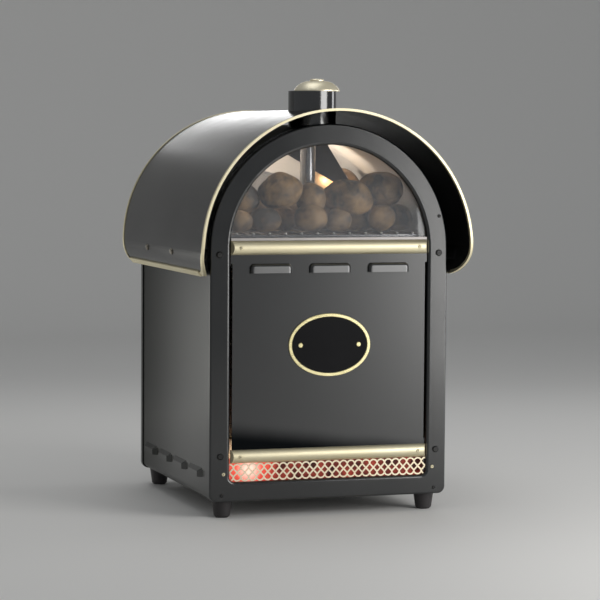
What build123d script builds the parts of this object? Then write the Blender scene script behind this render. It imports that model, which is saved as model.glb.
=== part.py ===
from build123d import *
import os
from math import asin, cos, degrees, radians, sin, sqrt

# A counter-top oven that bakes potatoes below and shows them, hot, under glass above.
# Millimetres. +X is to the right of the glass front, +Y towards the operator's side, +Z up.
# The origin lies under the middle of the oven, on the surface that the feet stand on.

# ---- Driving sizes --------------------------------------------------------------------

# Body
body_width = 400.0
body_depth = 434.0
spring_height = 400.0
foot_height = 27.0
frame_sheet = 1.5
panel_sheet = 1.2
fit_gap = 0.2

# Pressed front and rear frames
front_flange = 21.0
rear_flange = 12.0
frame_edge_radius = 3.0
frame_corner = 12.0
stile_width = 33.5
bottom_rail = 31.5
lip_depth = 8.0
lip_radius = 5.0
opening_corner = 9.0

# Canopy
canopy_clearance = 25.0
canopy_sheet = 1.5
canopy_setdown = 2.0
canopy_drop = 38.0
curl_radius = 55.0
canopy_front_overhang = 46.0
canopy_rear_overhang = 25.0
canopy_front_corner = 58.0
canopy_rear_corner = 14.0
trim_wall = 1.2
trim_width = 5.0
edge_strip_height = 10.0
edge_strip_wall = 2.5
canopy_screw_drop = 6.0
canopy_screw_front = 141.0
canopy_screw_spacing = 154.0

# Chimney, its cap, and the steam tube behind the glass
chimney_radius = 39.0
chimney_wall = 1.2
chimney_setback = 99.0
chimney_stand = 30.0
chimney_ledge = 12.0
cap_radius = 37.0
cap_height = 16.5
cap_shift = 8.0
cap_knob_radius = 11.5
cap_knob_height = 20.0
steam_tube_radius = 12.5
steam_tube_offset = 22.0

# Front panel, its louvres, brass strips and badge
panel_setback = 3.0
panel_side_gap = 4.0
panel_tab_drop = 14.0
upper_strip_above = 3.3
upper_strip_height = 22.4
lower_strip_rise = 71.8
lower_strip_height = 21.4
strip_bulge = 8.0
strip_end_bevel = 4.0
strip_screw_inset = 15.0
louvre_width = 70.0
louvre_height = 15.0
louvre_depth = 6.0
louvre_side_slope = 9.0
louvre_top_slope = 6.0
louvre_corner = 3.0
front_louvre_count = 3
front_louvre_pitch = 99.0
front_louvre_below = 29.5
side_louvre_count = 4
side_louvre_front = 84.0
side_louvre_rear = 70.0
side_louvre_rise = 42.0
badge_width = 138.0
badge_height = 101.0
badge_below = 153.0
badge_rim_width = 5.5
badge_plate_wall = 1.0
badge_rim_wall = 2.2
badge_rivet_spacing = 98.0
badge_rivet_radius = 4.0

# Fret grille and the glow behind it
grille_wall = 1.5
grille_cells = 26
fret_bar = 2.4
grille_gap = 0.5
glow_screen_setback = 22.0
glow_screen_wall = 2.5
glow_screen_cover = 5.0
glow_tray_depth = 70.0
glow_lamp_inset = 38.5

# Window and display shelf
glass_wall = 4.0
glass_cover = 15.5
glass_corner = 2.0
ledge_height = 4.0
deck_above = 18.0
rack_wire_radius = 1.7
rack_wire_count = 12
rack_side_gap = 4.0
rack_bar_height = 4.0
rack_setback = 24.0
liner_gap = 13.0
liner_sheet = 1.0

# Oven cavity, shelves, fan and element
cavity_side_gap = 50.0
cavity_low = 96.0
cavity_top_gap = 16.0
cavity_setback = 75.0
cavity_sheet = 1.2
shelf_count = 2
shelf_wire_count = 9
shelf_wire_radius = 2.0
shelf_bar_height = 5.0
shelf_side_gap = 4.0
runner_width = 12.0
insulation_side_gap = 1.0
insulation_top = 24.0
fan_radius = 70.0
fan_blades = 10
fan_depth = 14.0
shaft_radius = 4.0
motor_radius = 32.0
motor_length = 45.0
guard_half = 112.0
guard_depth = 34.0
guard_intake_radius = 48.0
element_half = 92.0
element_radius = 3.5
element_bend = 22.0

# Rear: door, display flap and controls
rear_opening_inset = 2.0
rear_window_inset = 50.0
rear_window_above = 24.0
door_overlap = 8.0
door_skin_depth = 8.0
door_skin_sheet = 1.2
door_gap = 1.5
door_plug_inset = 10.0
door_plug_depth = 14.0
seal_width = 5.0
handle_reach = 34.0
handle_length = 150.0
handle_radius = 5.0
hinge_radius = 5.0
hinge_pin_radius = 2.5
hinge_running_gap = 0.06
hinge_knuckle = 10.0
hinge_spacing = 230.0
flap_overlap = 6.0
flap_depth = 6.0
flap_band = 18.0
flap_glass_wall = 3.0
flap_gap = 0.5
flap_hinge_drop = 5.0
flap_hinge_out = 9.0
flap_hinge_inset = 40.0
control_rise = 44.0
control_plate_height = 64.0
control_plate_wall = 1.5
knob_radius = 19.0
knob_depth = 20.0
control_inset = 95.0
control_pitch = 60.0
switch_pitch = 40.0
gland_radius = 9.0
switch_width = 19.0
switch_height = 27.0
rocker_tilt = 8.0

# Feet
foot_top_radius = 16.5
foot_bottom_radius = 13.0
foot_inset = 28.0
foot_front = 25.0
foot_rear = 24.0

# Fasteners on the front frame: inset from the frame's side, and height
large_screw_inset = 15.0
large_screw_below = 7.0
low_screw_inset = 17.5
low_screw_rise = 73.0
corner_screw_inset = 20.0
corner_screw_rise = 10.5
rivet_inset = 15.0
rivet_above = 52.5
brass_screw_inset = 23.0
brass_screw_rise = 44.5

# Fasteners
frame_screw_radius = 5.2
frame_screw_height = 2.6
small_screw_radius = 2.8
small_screw_height = 1.6
screw_shank = 2.0
screw_grip = 7.0
screw_hole_gap = 0.1

# ---- Places worked out from the sizes ---------------------------------------------------


def half_at(radius, height):
    """Half-width, at a height, of upright sides under an arch."""
    if height <= z_spring:
        return radius
    return sqrt(radius**2 - (height - z_spring) ** 2)


half_width = body_width / 2
z_base = foot_height
z_spring = z_base + spring_height
overall_depth = canopy_front_overhang + body_depth + handle_reach
y_face = canopy_front_overhang - overall_depth / 2
y_back = y_face + body_depth
skin_half = half_width - frame_sheet - fit_gap
skin_inner = skin_half - panel_sheet
skin_front = y_face + frame_edge_radius + fit_gap
skin_back = y_back - frame_edge_radius - fit_gap
roll_centre_x = half_width - frame_corner
opening_half = half_width - stile_width
opening_low = z_base + bottom_rail

canopy_half = half_width + canopy_clearance
z_canopy = z_spring - canopy_setdown
z_canopy_low = z_canopy - canopy_drop
z_canopy_top = z_canopy + canopy_half
y_canopy_front = y_face - canopy_front_overhang
y_canopy_back = y_back + canopy_rear_overhang
curl_centre = canopy_half - curl_radius
curl_angle = degrees(asin(canopy_drop / curl_radius))
z_canopy_screw = z_canopy - canopy_screw_drop

y_chimney = y_face + chimney_setback
z_chimney_top = z_canopy_top + chimney_stand
y_steam = y_chimney + steam_tube_offset

y_panel = y_face + panel_setback
panel_half = opening_half - panel_side_gap
z_upper_strip = z_spring + upper_strip_above
z_lower_strip = z_base + lower_strip_rise
upper_strip_high = z_upper_strip + upper_strip_height / 2
strip_half = half_at(opening_half, upper_strip_high) - 2 * fit_gap
z_badge = z_spring - badge_below
lower_strip_low = z_lower_strip - lower_strip_height / 2

z_deck = z_spring + deck_above
rack_wire_pitch = 2 * (opening_half - rack_side_gap) / rack_wire_count
y_glass = y_face + lip_depth + fit_gap
y_glass_back = y_glass + glass_wall
y_deck_front = y_glass_back + liner_gap / 4
y_deck_back = y_back - lip_depth - fit_gap
liner_radius = skin_inner - liner_gap

y_cavity = y_face + cavity_setback
y_cavity_back = y_back - lip_depth - fit_gap
z_cavity_low = z_base + cavity_low
z_cavity_high = z_spring - cavity_top_gap
z_fan = (z_cavity_low + z_cavity_high) / 2
cavity_half = half_width - cavity_side_gap

rear_opening_half = cavity_half - rear_opening_inset
rear_window_radius = half_width - rear_window_inset
z_rear_window = z_spring + rear_window_above
z_door_low = z_cavity_low + rear_opening_inset
z_door_high = z_cavity_high - rear_opening_inset
door_half = rear_opening_half + door_overlap
y_door = y_back + door_gap
y_door_skin = y_door + door_skin_depth
hinge_x = door_half + hinge_radius + fit_gap
hinge_y = y_door + hinge_radius
z_flap_low = z_rear_window - flap_overlap
flap_hinge_side = rear_window_radius - flap_hinge_inset
z_flap_hinge = z_flap_low - flap_hinge_drop
y_flap_hinge = y_back + flap_hinge_out
z_control = z_base + control_rise
y_control = y_back + control_plate_wall
thermostat_side = control_inset - half_width
timer_side = thermostat_side + control_pitch
power_switch_side = timer_side + control_pitch
light_switch_side = power_switch_side + switch_pitch
indicator_side = light_switch_side + switch_pitch
gland_side = indicator_side + switch_pitch
foot_side = half_width - foot_inset


# ---- Ways of drawing --------------------------------------------------------------------


def front_view(sketch, y_front, depth):
    """A shape drawn from the front in x and z, carried back from y_front."""
    plane = Plane(origin=(0, y_front, 0), x_dir=(1, 0, 0), z_dir=(0, -1, 0))
    return extrude(plane * sketch, amount=-depth)


def side_view(sketch, x_left, width):
    """A shape drawn from the side in y and z, carried to the right from x_left."""
    plane = Plane(origin=(x_left, 0, 0), x_dir=(0, 1, 0), z_dir=(1, 0, 0))
    return extrude(plane * sketch, amount=width)


def rectangle(left, low, right, high):
    return Pos((left + right) / 2, (low + high) / 2) * Rectangle(right - left, high - low)


def block(x0, x1, y0, y1, z0, z1):
    centre = Pos((x0 + x1) / 2, (y0 + y1) / 2, (z0 + z1) / 2)
    return centre * Box(x1 - x0, y1 - y0, z1 - z0)


def rod(start, direction, radius, length):
    """A round bar from a point along a direction."""
    ends = (Align.CENTER, Align.CENTER, Align.MIN)
    return Plane(origin=start, z_dir=direction) * Cylinder(radius, length, align=ends)


def arch_shape(half, low, corner):
    """Upright sides under a half circle that springs from z_spring."""
    feet = [(-half, low), (half, low)]
    springs = [(-half, z_spring), (half, z_spring)]
    outline = [
        Line(feet[0], feet[1]),
        Line(feet[1], springs[1]),
        ThreePointArc(springs[1], (0, z_spring + half), springs[0]),
        Line(springs[0], feet[0]),
    ]
    face = make_face(outline)
    return fillet(face.vertices().group_by(Axis.Y)[0], corner)


def lunette(radius, low, corner):
    """The part of a circle about the spring point that lies above a level."""
    disc = Pos(0, z_spring) * Circle(radius)
    shape = disc & rectangle(-radius, low, radius, low + 2 * radius)
    return fillet(shape.vertices().group_by(Axis.Y)[0], corner)


def ring_sector(centre, inner, outer, start, end):
    """Part of a flat ring between two angles in degrees."""

    def point(radius, angle):
        return (centre[0] + radius * cos(radians(angle)), centre[1] + radius * sin(radians(angle)))

    middle = (start + end) / 2
    outline = [
        Line(point(inner, start), point(outer, start)),
        ThreePointArc(point(outer, start), point(outer, middle), point(outer, end)),
        Line(point(outer, end), point(inner, end)),
        ThreePointArc(point(inner, end), point(inner, middle), point(inner, start)),
    ]
    return make_face(outline)


def both_sides(shape):
    """A shape and its mirror image across the middle plane."""
    return [shape, mirror(shape, about=Plane.YZ)]


def screw(seat, outward, head_radius, head_height, shank_radius, shank_length):
    """A pan-head screw whose head rests on seat and points along outward."""
    outline = Polyline(
        (0, head_height),
        (head_radius - head_height * 0.6, head_height),
        (head_radius, head_height * 0.4),
        (head_radius, 0),
        (shank_radius, 0),
        (shank_radius, -shank_length),
        (0, -shank_length),
        (0, head_height),
    )
    section = make_face(Plane.XZ * outline)
    return Plane(origin=seat, z_dir=outward) * revolve(section, Axis.Z)


def drill(solid, seats, outward, radius, length):
    """Cut a round hole inwards from each seat."""
    inward = tuple(-part for part in outward)
    for seat in seats:
        start = tuple(place + step for place, step in zip(seat, outward))
        solid = solid - rod(start, inward, radius, length + 1)
    return solid


# ---- Pressed frames -----------------------------------------------------------------------


def pressed_frame(openings, flange):
    """A dished arch plate with its face at y = 0, a flange turned back all round, and lipped openings.

    openings is a list of functions that draw an opening grown by a given amount.
    """
    outline = arch_shape(half_width, z_base, frame_corner)
    hollow = arch_shape(half_width - frame_sheet, z_base + frame_sheet, frame_corner - frame_sheet)
    for opening in openings:
        outline = outline - opening(0)
        hollow = hollow - opening(frame_sheet)
    plate = front_view(outline, 0, flange)
    plate = round_front(plate, frame_edge_radius, lip_radius)
    pocket = front_view(hollow, frame_sheet, flange)
    pocket = round_front(pocket, frame_edge_radius - frame_sheet, lip_radius - frame_sheet)
    plate = plate - pocket
    for opening in openings:
        plate = plate - front_view(opening(frame_sheet), lip_depth, flange)
    return plate


def round_front(solid, outer_radius, inner_radius):
    """Round the front edge of a plate, and the front edges of its openings."""
    face = solid.faces().sort_by(Axis.Y)[0]
    solid = fillet(face.outer_wire().edges(), outer_radius)
    face = solid.faces().sort_by(Axis.Y)[0]
    inner = [edge for wire in face.inner_wires() for edge in wire.edges()]
    return fillet(inner, inner_radius)


def front_opening(grow):
    return arch_shape(opening_half + grow, opening_low - grow, opening_corner + grow)


def rear_window(grow):
    return lunette(rear_window_radius + grow, z_rear_window - grow, opening_corner + grow)


def rear_doorway(grow):
    left, right = -rear_opening_half - grow, rear_opening_half + grow
    shape = rectangle(left, z_door_low - grow, right, z_door_high + grow)
    return fillet(shape.vertices(), opening_corner + grow)


# Seats of the front frame's fasteners: inset from the frame's side, then height.
large_screw_places = [(large_screw_inset, z_spring - large_screw_below), (low_screw_inset, z_base + low_screw_rise)]
small_screw_places = [(corner_screw_inset, z_base + corner_screw_rise)]
brass_screw_places = [(brass_screw_inset, z_base + brass_screw_rise)]
rivet_seat = (half_width - rivet_inset, y_face, z_spring + rivet_above)


def on_frame(places):
    """Points on the front frame's face, a pair for each inset and height."""
    return [(side * (half_width - inset), y_face, z) for inset, z in places for side in (-1, 1)]


def front_frame():
    frame = Pos(0, y_face, 0) * pressed_frame([front_opening], front_flange)
    places = on_frame(large_screw_places + small_screw_places + brass_screw_places) + [rivet_seat]
    return drill(frame, places, (0, -1, 0), screw_shank + screw_hole_gap, frame_sheet)


def rear_frame():
    frame = mirror(pressed_frame([rear_window, rear_doorway], rear_flange), about=Plane.XZ)
    frame = Pos(0, y_back, 0) * frame
    holes = [(x, y_back, z_control) for x in (thermostat_side, timer_side)]
    frame = drill(frame, holes, (0, 1, 0), shaft_radius + screw_hole_gap, frame_sheet)
    for side in (power_switch_side, light_switch_side):
        frame = frame - switch_cutout(side, y_back - frame_sheet, frame_sheet)
    frame = drill(frame, [(indicator_side, y_back, z_control)], (0, 1, 0), indicator_radius, frame_sheet)
    return drill(frame, [(gland_side, y_back, z_control)], (0, 1, 0), gland_thread, frame_sheet)


def frame_screws():
    outward = (0, -1, 0)
    large = [
        screw(seat, outward, frame_screw_radius, frame_screw_height, screw_shank, screw_grip)
        for seat in on_frame(large_screw_places)
    ]
    small = [
        screw(seat, outward, small_screw_radius, small_screw_height, screw_shank, screw_grip)
        for seat in on_frame(small_screw_places) + [rivet_seat]
    ]
    return large + small


# ---- Body sheets --------------------------------------------------------------------------


def louvre(width, height):
    """A pressed louvre standing along +Z from a sheet in XY, open below: what it adds and what it cuts."""
    base = Pos(0, 0) * Rectangle(width, height)
    top_width = width - 2 * louvre_side_slope
    top_height = height - louvre_top_slope
    top = Pos(0, -louvre_top_slope / 2) * Rectangle(top_width, top_height)
    hood = loft([base.face(), (Pos(0, 0, louvre_depth) * top).face()])
    upper = hood.edges().filter_by(lambda e: abs(e.tangent_at(0).Z) > 0.2)
    hood = fillet(upper.group_by(Axis.Y)[-1], louvre_corner)
    wall = 1.5 * panel_sheet
    inner_base = Pos(0, -wall / 2) * Rectangle(width - 2 * wall, height - wall)
    inner_top = Pos(0, -louvre_top_slope / 2 - wall / 2) * Rectangle(top_width - 2 * wall, top_height - wall)
    depth = louvre_depth - panel_sheet
    hollow = loft([inner_base.face(), (Pos(0, 0, depth) * inner_top).face()])
    slot = Pos(0, 0, -panel_sheet - 1) * extrude(inner_base, amount=panel_sheet + 1)
    return hood, hollow + slot


def add_louvres(panel, places, outward, across):
    """Press a louvre into a panel at each place, bulging along outward and lying along across."""
    hood, cut = louvre(louvre_width, louvre_height)
    for place in places:
        plane = Plane(origin=place, x_dir=across, z_dir=outward)
        panel = panel + plane * hood - plane * cut
    return panel


def side_panel_left():
    """Flat sheet, rolled under at its foot to follow the frames' rounded corners."""
    roll = skin_half - roll_centre_x
    centre = (-roll_centre_x, z_base + frame_corner)
    section = rectangle(-skin_half, centre[1], -skin_inner, z_spring)
    section = section + ring_sector(centre, roll - panel_sheet, roll, 180, 270)
    sheet = front_view(section, skin_front, skin_back - skin_front)
    rise = z_base + side_louvre_rise
    start = y_face + side_louvre_front
    side_louvre_pitch = (body_depth - side_louvre_front - side_louvre_rear) / (side_louvre_count - 1)
    places = [(-skin_half, start + n * side_louvre_pitch, rise) for n in range(side_louvre_count)]
    return add_louvres(sheet, places, (-1, 0, 0), (0, -1, 0))


def side_panel_right():
    return mirror(side_panel_left(), about=Plane.YZ)


def roof_barrel():
    section = ring_sector((0, z_spring + fit_gap), skin_inner, skin_half, 0, 180)
    roof = front_view(section, skin_front, skin_back - skin_front)
    hole = rod((0, y_chimney, z_spring), (0, 0, 1), chimney_radius + fit_gap, body_width)
    return roof - hole


def base_pan():
    """A folded tray between the frames' flanges, with slots for cooling air behind its front."""
    side = roll_centre_x - fit_gap
    front = y_face + front_flange + fit_gap
    back = y_back - rear_flange - fit_gap
    pan = block(-side, side, front, back, z_base, z_base + base_pan_height)
    wall = frame_sheet
    pan = pan - block(
        -side + wall, side - wall, front + wall, back - wall, z_base + wall, z_base + base_pan_height + 1
    )
    for row in range(base_slot_rows):
        y = front + (row + 1) * base_slot_pitch
        for x in (-base_slot_side, base_slot_side):
            slot = block(
                x - base_slot_length / 2,
                x + base_slot_length / 2,
                y - base_slot_width / 2,
                y + base_slot_width / 2,
                z_base - 1,
                z_base + wall + 1,
            )
            pan = pan - slot
    return pan


base_pan_height = 20.0
base_slot_rows = 3
base_slot_pitch = 12.0
base_slot_side = 80.0
base_slot_length = 60.0
base_slot_width = 5.0
foot_edge_radius = 3.0


def feet():
    """Turned rubber feet, narrower below."""
    section = make_face(
        Plane.XZ
        * Polyline(
            (0, 0),
            (foot_bottom_radius - foot_edge_radius, 0),
            (foot_bottom_radius, foot_edge_radius),
            (foot_top_radius, foot_height),
            (0, foot_height),
            (0, 0),
        )
    )
    foot = revolve(section, Axis.Z)
    places = [(x, y) for y in (y_face + foot_front, y_back - foot_rear) for x in (-foot_side, foot_side)]
    return [Pos(x, y, 0) * foot for x, y in places]


# ---- Canopy -------------------------------------------------------------------------------


def canopy_section(inside, outside):
    """Arch with its lower edges curled in, between two offsets from the sheet's outer surface.

    The curls run on below the edge, for the side view's outline to cut them level.
    """
    curl_end = curl_angle + curl_run_on
    section = ring_sector((0, z_canopy), canopy_half + inside, canopy_half + outside, 0, 180)
    for side in (1, -1):
        centre = (side * curl_centre, z_canopy)
        start, end = (-curl_end, 0) if side > 0 else (180, 180 + curl_end)
        section = section + ring_sector(centre, curl_radius + inside, curl_radius + outside, start, end)
    return section


curl_run_on = 12.0


def canopy_outline(grow):
    """Side view of the canopy, with its lower corners rounded."""
    front, back = y_canopy_front - grow, y_canopy_back + grow
    shape = rectangle(front, z_canopy_low - grow, back, z_canopy_top + canopy_half)
    low = shape.vertices().group_by(Axis.Y)[0].sort_by(Axis.X)
    shape = fillet(low[0], canopy_front_corner + grow)
    low = shape.vertices().group_by(Axis.Y)[0].sort_by(Axis.X)
    return fillet(low[-1], canopy_rear_corner + grow)


def canopy_slice(section, outline):
    """What a front section and a side outline have in common."""
    reach = canopy_half + curl_radius
    front = y_canopy_front - trim_width
    length = y_canopy_back - y_canopy_front + 2 * trim_width
    return front_view(section, front, length) & side_view(outline, -reach, 2 * reach)


def canopy():
    skin = canopy_slice(canopy_section(-canopy_sheet, 0), canopy_outline(0))
    skin = skin - rod((0, y_chimney, z_spring), (0, 0, 1), chimney_radius + fit_gap, body_width)
    for seat, outward in canopy_screw_seats():
        skin = drill(skin, [seat], outward, screw_shank + screw_hole_gap, 2 * canopy_sheet)
    return skin


def canopy_edge_trims():
    """Folded brass over the canopy's front and rear edges."""
    thick = canopy_section(-canopy_sheet - trim_wall, trim_wall)
    band = canopy_outline(trim_wall) - canopy_outline(-trim_width)
    ring = canopy_slice(thick, band)
    skin = canopy_slice(canopy_section(-canopy_sheet, 0), canopy_outline(0))
    ring = ring - skin
    reach = canopy_half + curl_radius
    top = z_canopy_top + curl_radius
    low = z_canopy_low - curl_radius
    front_end = y_canopy_front + canopy_front_corner - trim_wall
    back_end = y_canopy_back - canopy_rear_corner + trim_wall
    front = ring & block(-reach, reach, y_canopy_front - curl_radius, front_end, low, top)
    back = ring & block(-reach, reach, back_end, y_canopy_back + curl_radius, low, top)
    return [front, back]


def canopy_edge_strips():
    """Brass strips along the canopy's lower side edges, between its rounded corners."""
    span = degrees(edge_strip_height / curl_radius)
    start = -curl_angle
    centre = (curl_centre, z_canopy)
    section = ring_sector(centre, curl_radius, curl_radius + edge_strip_wall, start, start + span)
    front = y_canopy_front + canopy_front_corner + fit_gap
    back = y_canopy_back - canopy_rear_corner - fit_gap
    return both_sides(front_view(section, front, back - front))


def canopy_rails():
    """Folded rails that carry the canopy along each side of the body."""
    inner = skin_half + fit_gap + frame_sheet
    web = z_canopy - rail_below
    bend = curl_radius - canopy_sheet - fit_gap
    drop = rail_below
    outer = curl_centre + sqrt((bend - frame_sheet / 2) ** 2 - drop**2)
    front = y_face + front_flange + fit_gap
    back = y_back - rear_flange - fit_gap
    wall = frame_sheet
    rail = block(inner, inner + wall, front, back, web - rail_drop, web + rail_drop)
    rail = rail + block(inner, outer, front, back, web, web + wall)
    leg = ring_sector((curl_centre, z_canopy), bend - wall, bend, -degrees(asin(drop / bend)), 0)
    rail = rail + front_view(leg, front, back - front)
    for seat, outward in canopy_screw_seats():
        if outward[0] > 0:
            rail = drill(rail, [seat], outward, screw_shank + screw_hole_gap, screw_grip)
    return both_sides(rail)


rail_below = 16.0
rail_drop = 14.0


def canopy_screw_seats():
    seats = []
    lean = asin(canopy_screw_drop / curl_radius)
    screw_half = curl_centre + curl_radius * cos(lean)
    for n in range(2):
        y = y_face + canopy_screw_front + n * canopy_screw_spacing
        for side in (-1, 1):
            outward = (side * cos(lean), 0, -sin(lean))
            seats.append(((side * screw_half, y, z_canopy_screw), outward))
    return seats


def canopy_screws():
    return [
        screw(seat, outward, frame_screw_radius, frame_screw_height, screw_shank, screw_grip)
        for seat, outward in canopy_screw_seats()
    ]


# ---- Chimney ------------------------------------------------------------------------------


def chimney():
    """A rolled tube through canopy and roof, with a narrow ledge turned in at its top."""
    low = z_spring + skin_inner - chimney_ledge
    height = z_chimney_top - low
    tube = rod((0, y_chimney, low), (0, 0, 1), chimney_radius, height)
    bore = rod((0, y_chimney, low), (0, 0, 1), chimney_radius - chimney_wall, height - chimney_wall)
    mouth = rod((0, y_chimney, low), (0, 0, 1), chimney_radius - chimney_ledge, height + 1)
    return tube - bore - mouth


def chimney_cap():
    """A domed brass lid with a dished knob, resting a little off centre on the chimney's ledge."""
    neck = cap_knob_radius + 1.5
    rim_height = 2.0
    dish = cap_knob_radius / 2
    dish_depth = 3.0
    knob_edge = (cap_knob_radius, cap_knob_height - 1.5)
    dome = ThreePointArc(
        (cap_radius, rim_height),
        ((cap_radius + neck) / 2 + 3.0, cap_height * 0.72),
        (neck, cap_height),
    )
    knob = Polyline(
        (neck, cap_height),
        (cap_knob_radius, cap_height - 1.5),
        knob_edge,
        (cap_knob_radius - 2.0, cap_knob_height),
        (dish + 1.5, cap_knob_height),
        (dish, cap_knob_height - dish_depth),
        (0, cap_knob_height - dish_depth),
        (0, 0),
        (cap_radius, 0),
        (cap_radius, rim_height),
    )
    lid = revolve(make_face(Plane.XZ * (dome + knob)), Axis.Z)
    inside = Cylinder(cap_radius - 4.0, 5.0, align=(Align.CENTER, Align.CENTER, Align.MIN))
    return Pos(cap_shift, y_chimney, z_chimney_top) * (lid - inside)


def steam_tube():
    """Carries steam from the oven, past the potatoes, into the chimney."""
    low = z_deck - panel_sheet - steam_tube_entry
    high = z_spring + skin_inner - chimney_ledge / 2
    outer = rod((0, y_steam, low), (0, 0, 1), steam_tube_radius, high - low)
    inner = rod((0, y_steam, low - 1), (0, 0, 1), steam_tube_radius - liner_sheet, high - low + 2)
    return outer - inner


steam_tube_entry = 3.0


# ---- Front panel and its brass ---------------------------------------------------------------


def front_panel():
    high = upper_strip_high
    tab_low = z_upper_strip - upper_strip_height / 2 - panel_tab_drop
    shape = rectangle(-panel_half, lower_strip_low, panel_half, high)
    shape = shape + rectangle(-strip_half, tab_low, strip_half, high)
    sheet = front_view(shape, y_panel, panel_sheet)
    middle = (front_louvre_count - 1) / 2
    rise = z_spring - front_louvre_below
    places = [((n - middle) * front_louvre_pitch, y_panel, rise) for n in range(front_louvre_count)]
    return add_louvres(sheet, places, (0, -1, 0), (1, 0, 0))


def brass_strip(z_middle, height):
    """A rolled strip with a rounded front and bevelled ends."""
    half = height / 2
    bow = ThreePointArc(
        (y_panel, z_middle - half), (y_panel - strip_bulge, z_middle), (y_panel, z_middle + half)
    )
    back = Line((y_panel, z_middle + half), (y_panel, z_middle - half))
    strip = side_view(make_face([bow, back]), -strip_half, 2 * strip_half)
    ends = Polyline(
        (-strip_half, y_panel),
        (strip_half, y_panel),
        (strip_half - strip_end_bevel, y_panel - strip_bulge),
        (-strip_half + strip_end_bevel, y_panel - strip_bulge),
        (-strip_half, y_panel),
    )
    plan = Pos(0, 0, z_middle - height) * extrude(make_face(ends), amount=2 * height)
    strip = strip & plan
    seats = strip_screw_seats(z_middle)
    return drill(strip, seats, (0, -1, 0), screw_shank + screw_hole_gap, strip_bulge)


def strip_screw_seats(z_middle):
    y = y_panel - strip_bulge
    side = strip_half - strip_screw_inset
    return [(x, y, z_middle) for x in (-side, side)]


def upper_strip():
    return brass_strip(z_upper_strip, upper_strip_height)


def lower_strip():
    return brass_strip(z_lower_strip, lower_strip_height)


def brass_screws():
    outward = (0, -1, 0)
    seats = strip_screw_seats(z_upper_strip) + strip_screw_seats(z_lower_strip)
    strip_grip = strip_bulge - 2 * fit_gap
    screws = [
        screw(seat, outward, small_screw_radius, small_screw_height, screw_shank, strip_grip) for seat in seats
    ]
    for seat in on_frame(brass_screw_places):
        screws.append(screw(seat, outward, small_screw_radius, small_screw_height, screw_shank, screw_grip))
    return screws


def ellipse_at_badge(inset):
    return Pos(0, z_badge) * Ellipse(badge_width / 2 - inset, badge_height / 2 - inset)


def badge_plate():
    plate = front_view(
        ellipse_at_badge(badge_rim_width + fit_gap), y_panel - badge_plate_wall, badge_plate_wall
    )
    seats = badge_rivet_seats()
    return drill(plate, seats, (0, -1, 0), screw_shank + screw_hole_gap, badge_plate_wall)


def badge_rim():
    ring = ellipse_at_badge(0) - ellipse_at_badge(badge_rim_width)
    rim = front_view(ring, y_panel - badge_rim_wall, badge_rim_wall)
    outer = rim.faces().sort_by(Axis.Y)[0].edges()
    return chamfer(outer, badge_rim_wall / 3)


def badge_rivet_seats():
    y = y_panel - badge_plate_wall
    return [(x, y, z_badge) for x in (-badge_rivet_spacing / 2, badge_rivet_spacing / 2)]


def badge_rivets():
    grip = badge_plate_wall - fit_gap
    return [
        screw(seat, (0, -1, 0), badge_rivet_radius, small_screw_height, screw_shank, grip)
        for seat in badge_rivet_seats()
    ]


# ---- Fret grille and glow -----------------------------------------------------------------------


def grille():
    """A pierced brass fret: a row of figure eights that meet their neighbours at loop height."""
    half = opening_half - grille_gap
    low = opening_low + grille_gap
    high = lower_strip_low - grille_gap
    middle = (low + high) / 2
    pitch = 2 * half / grille_cells
    eight = figure_eight(pitch / 2, (high - low - fret_bar) / 2)
    row = [Pos(-half + n * pitch, middle) * eight for n in range(grille_cells + 1)]
    fret = row[0] + row[1:]
    fret = fret & rectangle(-half, low, half, high) & front_opening(-grille_gap)
    return front_view(fret, y_panel, grille_wall)


def figure_eight(half_wide, half_tall):
    """Two loops with arched ends, crossing at the middle, drawn by a bar round their centrelines."""
    shoulder = half_tall - half_wide
    loop = make_face(
        [
            ThreePointArc((-half_wide, shoulder), (0, half_tall), (half_wide, shoulder)),
            Line((half_wide, shoulder), (0, 0)),
            Line((0, 0), (-half_wide, shoulder)),
        ]
    )
    outer = offset(loop, fret_bar / 2)
    inner = offset(loop, -fret_bar / 2)
    lower_outer = mirror(outer, about=Plane.XZ)
    lower_inner = mirror(inner, about=Plane.XZ)
    return outer + lower_outer - inner - lower_inner


def glow_tray():
    """Holds the glow screen and its lamp below the oven."""
    side = opening_half - grille_gap
    front = y_face + lip_depth + fit_gap
    back = y_face + glow_tray_depth
    low = z_base + frame_sheet + base_pan_height
    high = z_cavity_low - cavity_sheet - glow_tray_room
    wall = panel_sheet
    tray = block(-side, side, front, back, low, high)
    return tray - block(-side + wall, side - wall, front - 1, back - wall, low + wall, high + 1)


glow_tray_room = 4.0


def glow_screen():
    """Red translucent screen behind the fret."""
    side = opening_half - grille_gap - panel_sheet - fit_gap
    low = z_base + frame_sheet + base_pan_height + panel_sheet
    high = lower_strip_low + glow_screen_cover
    front = y_face + glow_screen_setback
    return block(-side, side, front, front + glow_screen_wall, low, high)


def lamp_places():
    """Back of each lamp holder and the way its lamp points: glow lamp, then display lamp."""
    glow_middle = (opening_low + z_cavity_low) / 2
    glow = (glow_lamp_inset - opening_half, y_face + glow_tray_depth - panel_sheet, glow_middle)
    display = (shield_tip_x, y_shield + panel_sheet, z_shield_tip)
    return [(glow, (0, -1, 0)), (display, (0, 1, 0))]


lamp_holder_radius = 9.0
lamp_holder_length = 14.0
lamp_bulb_radius = 8.0
lamp_bulb_length = 26.0
lamp_neck_radius = 5.0


def lamp_holders():
    holders = []
    for start, direction in lamp_places():
        holder = rod(start, direction, lamp_holder_radius, lamp_holder_length)
        mouth = tuple(p + d * lamp_holder_length / 2 for p, d in zip(start, direction))
        holders.append(holder - rod(mouth, direction, lamp_neck_radius + fit_gap, lamp_holder_length))
    return holders


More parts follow.
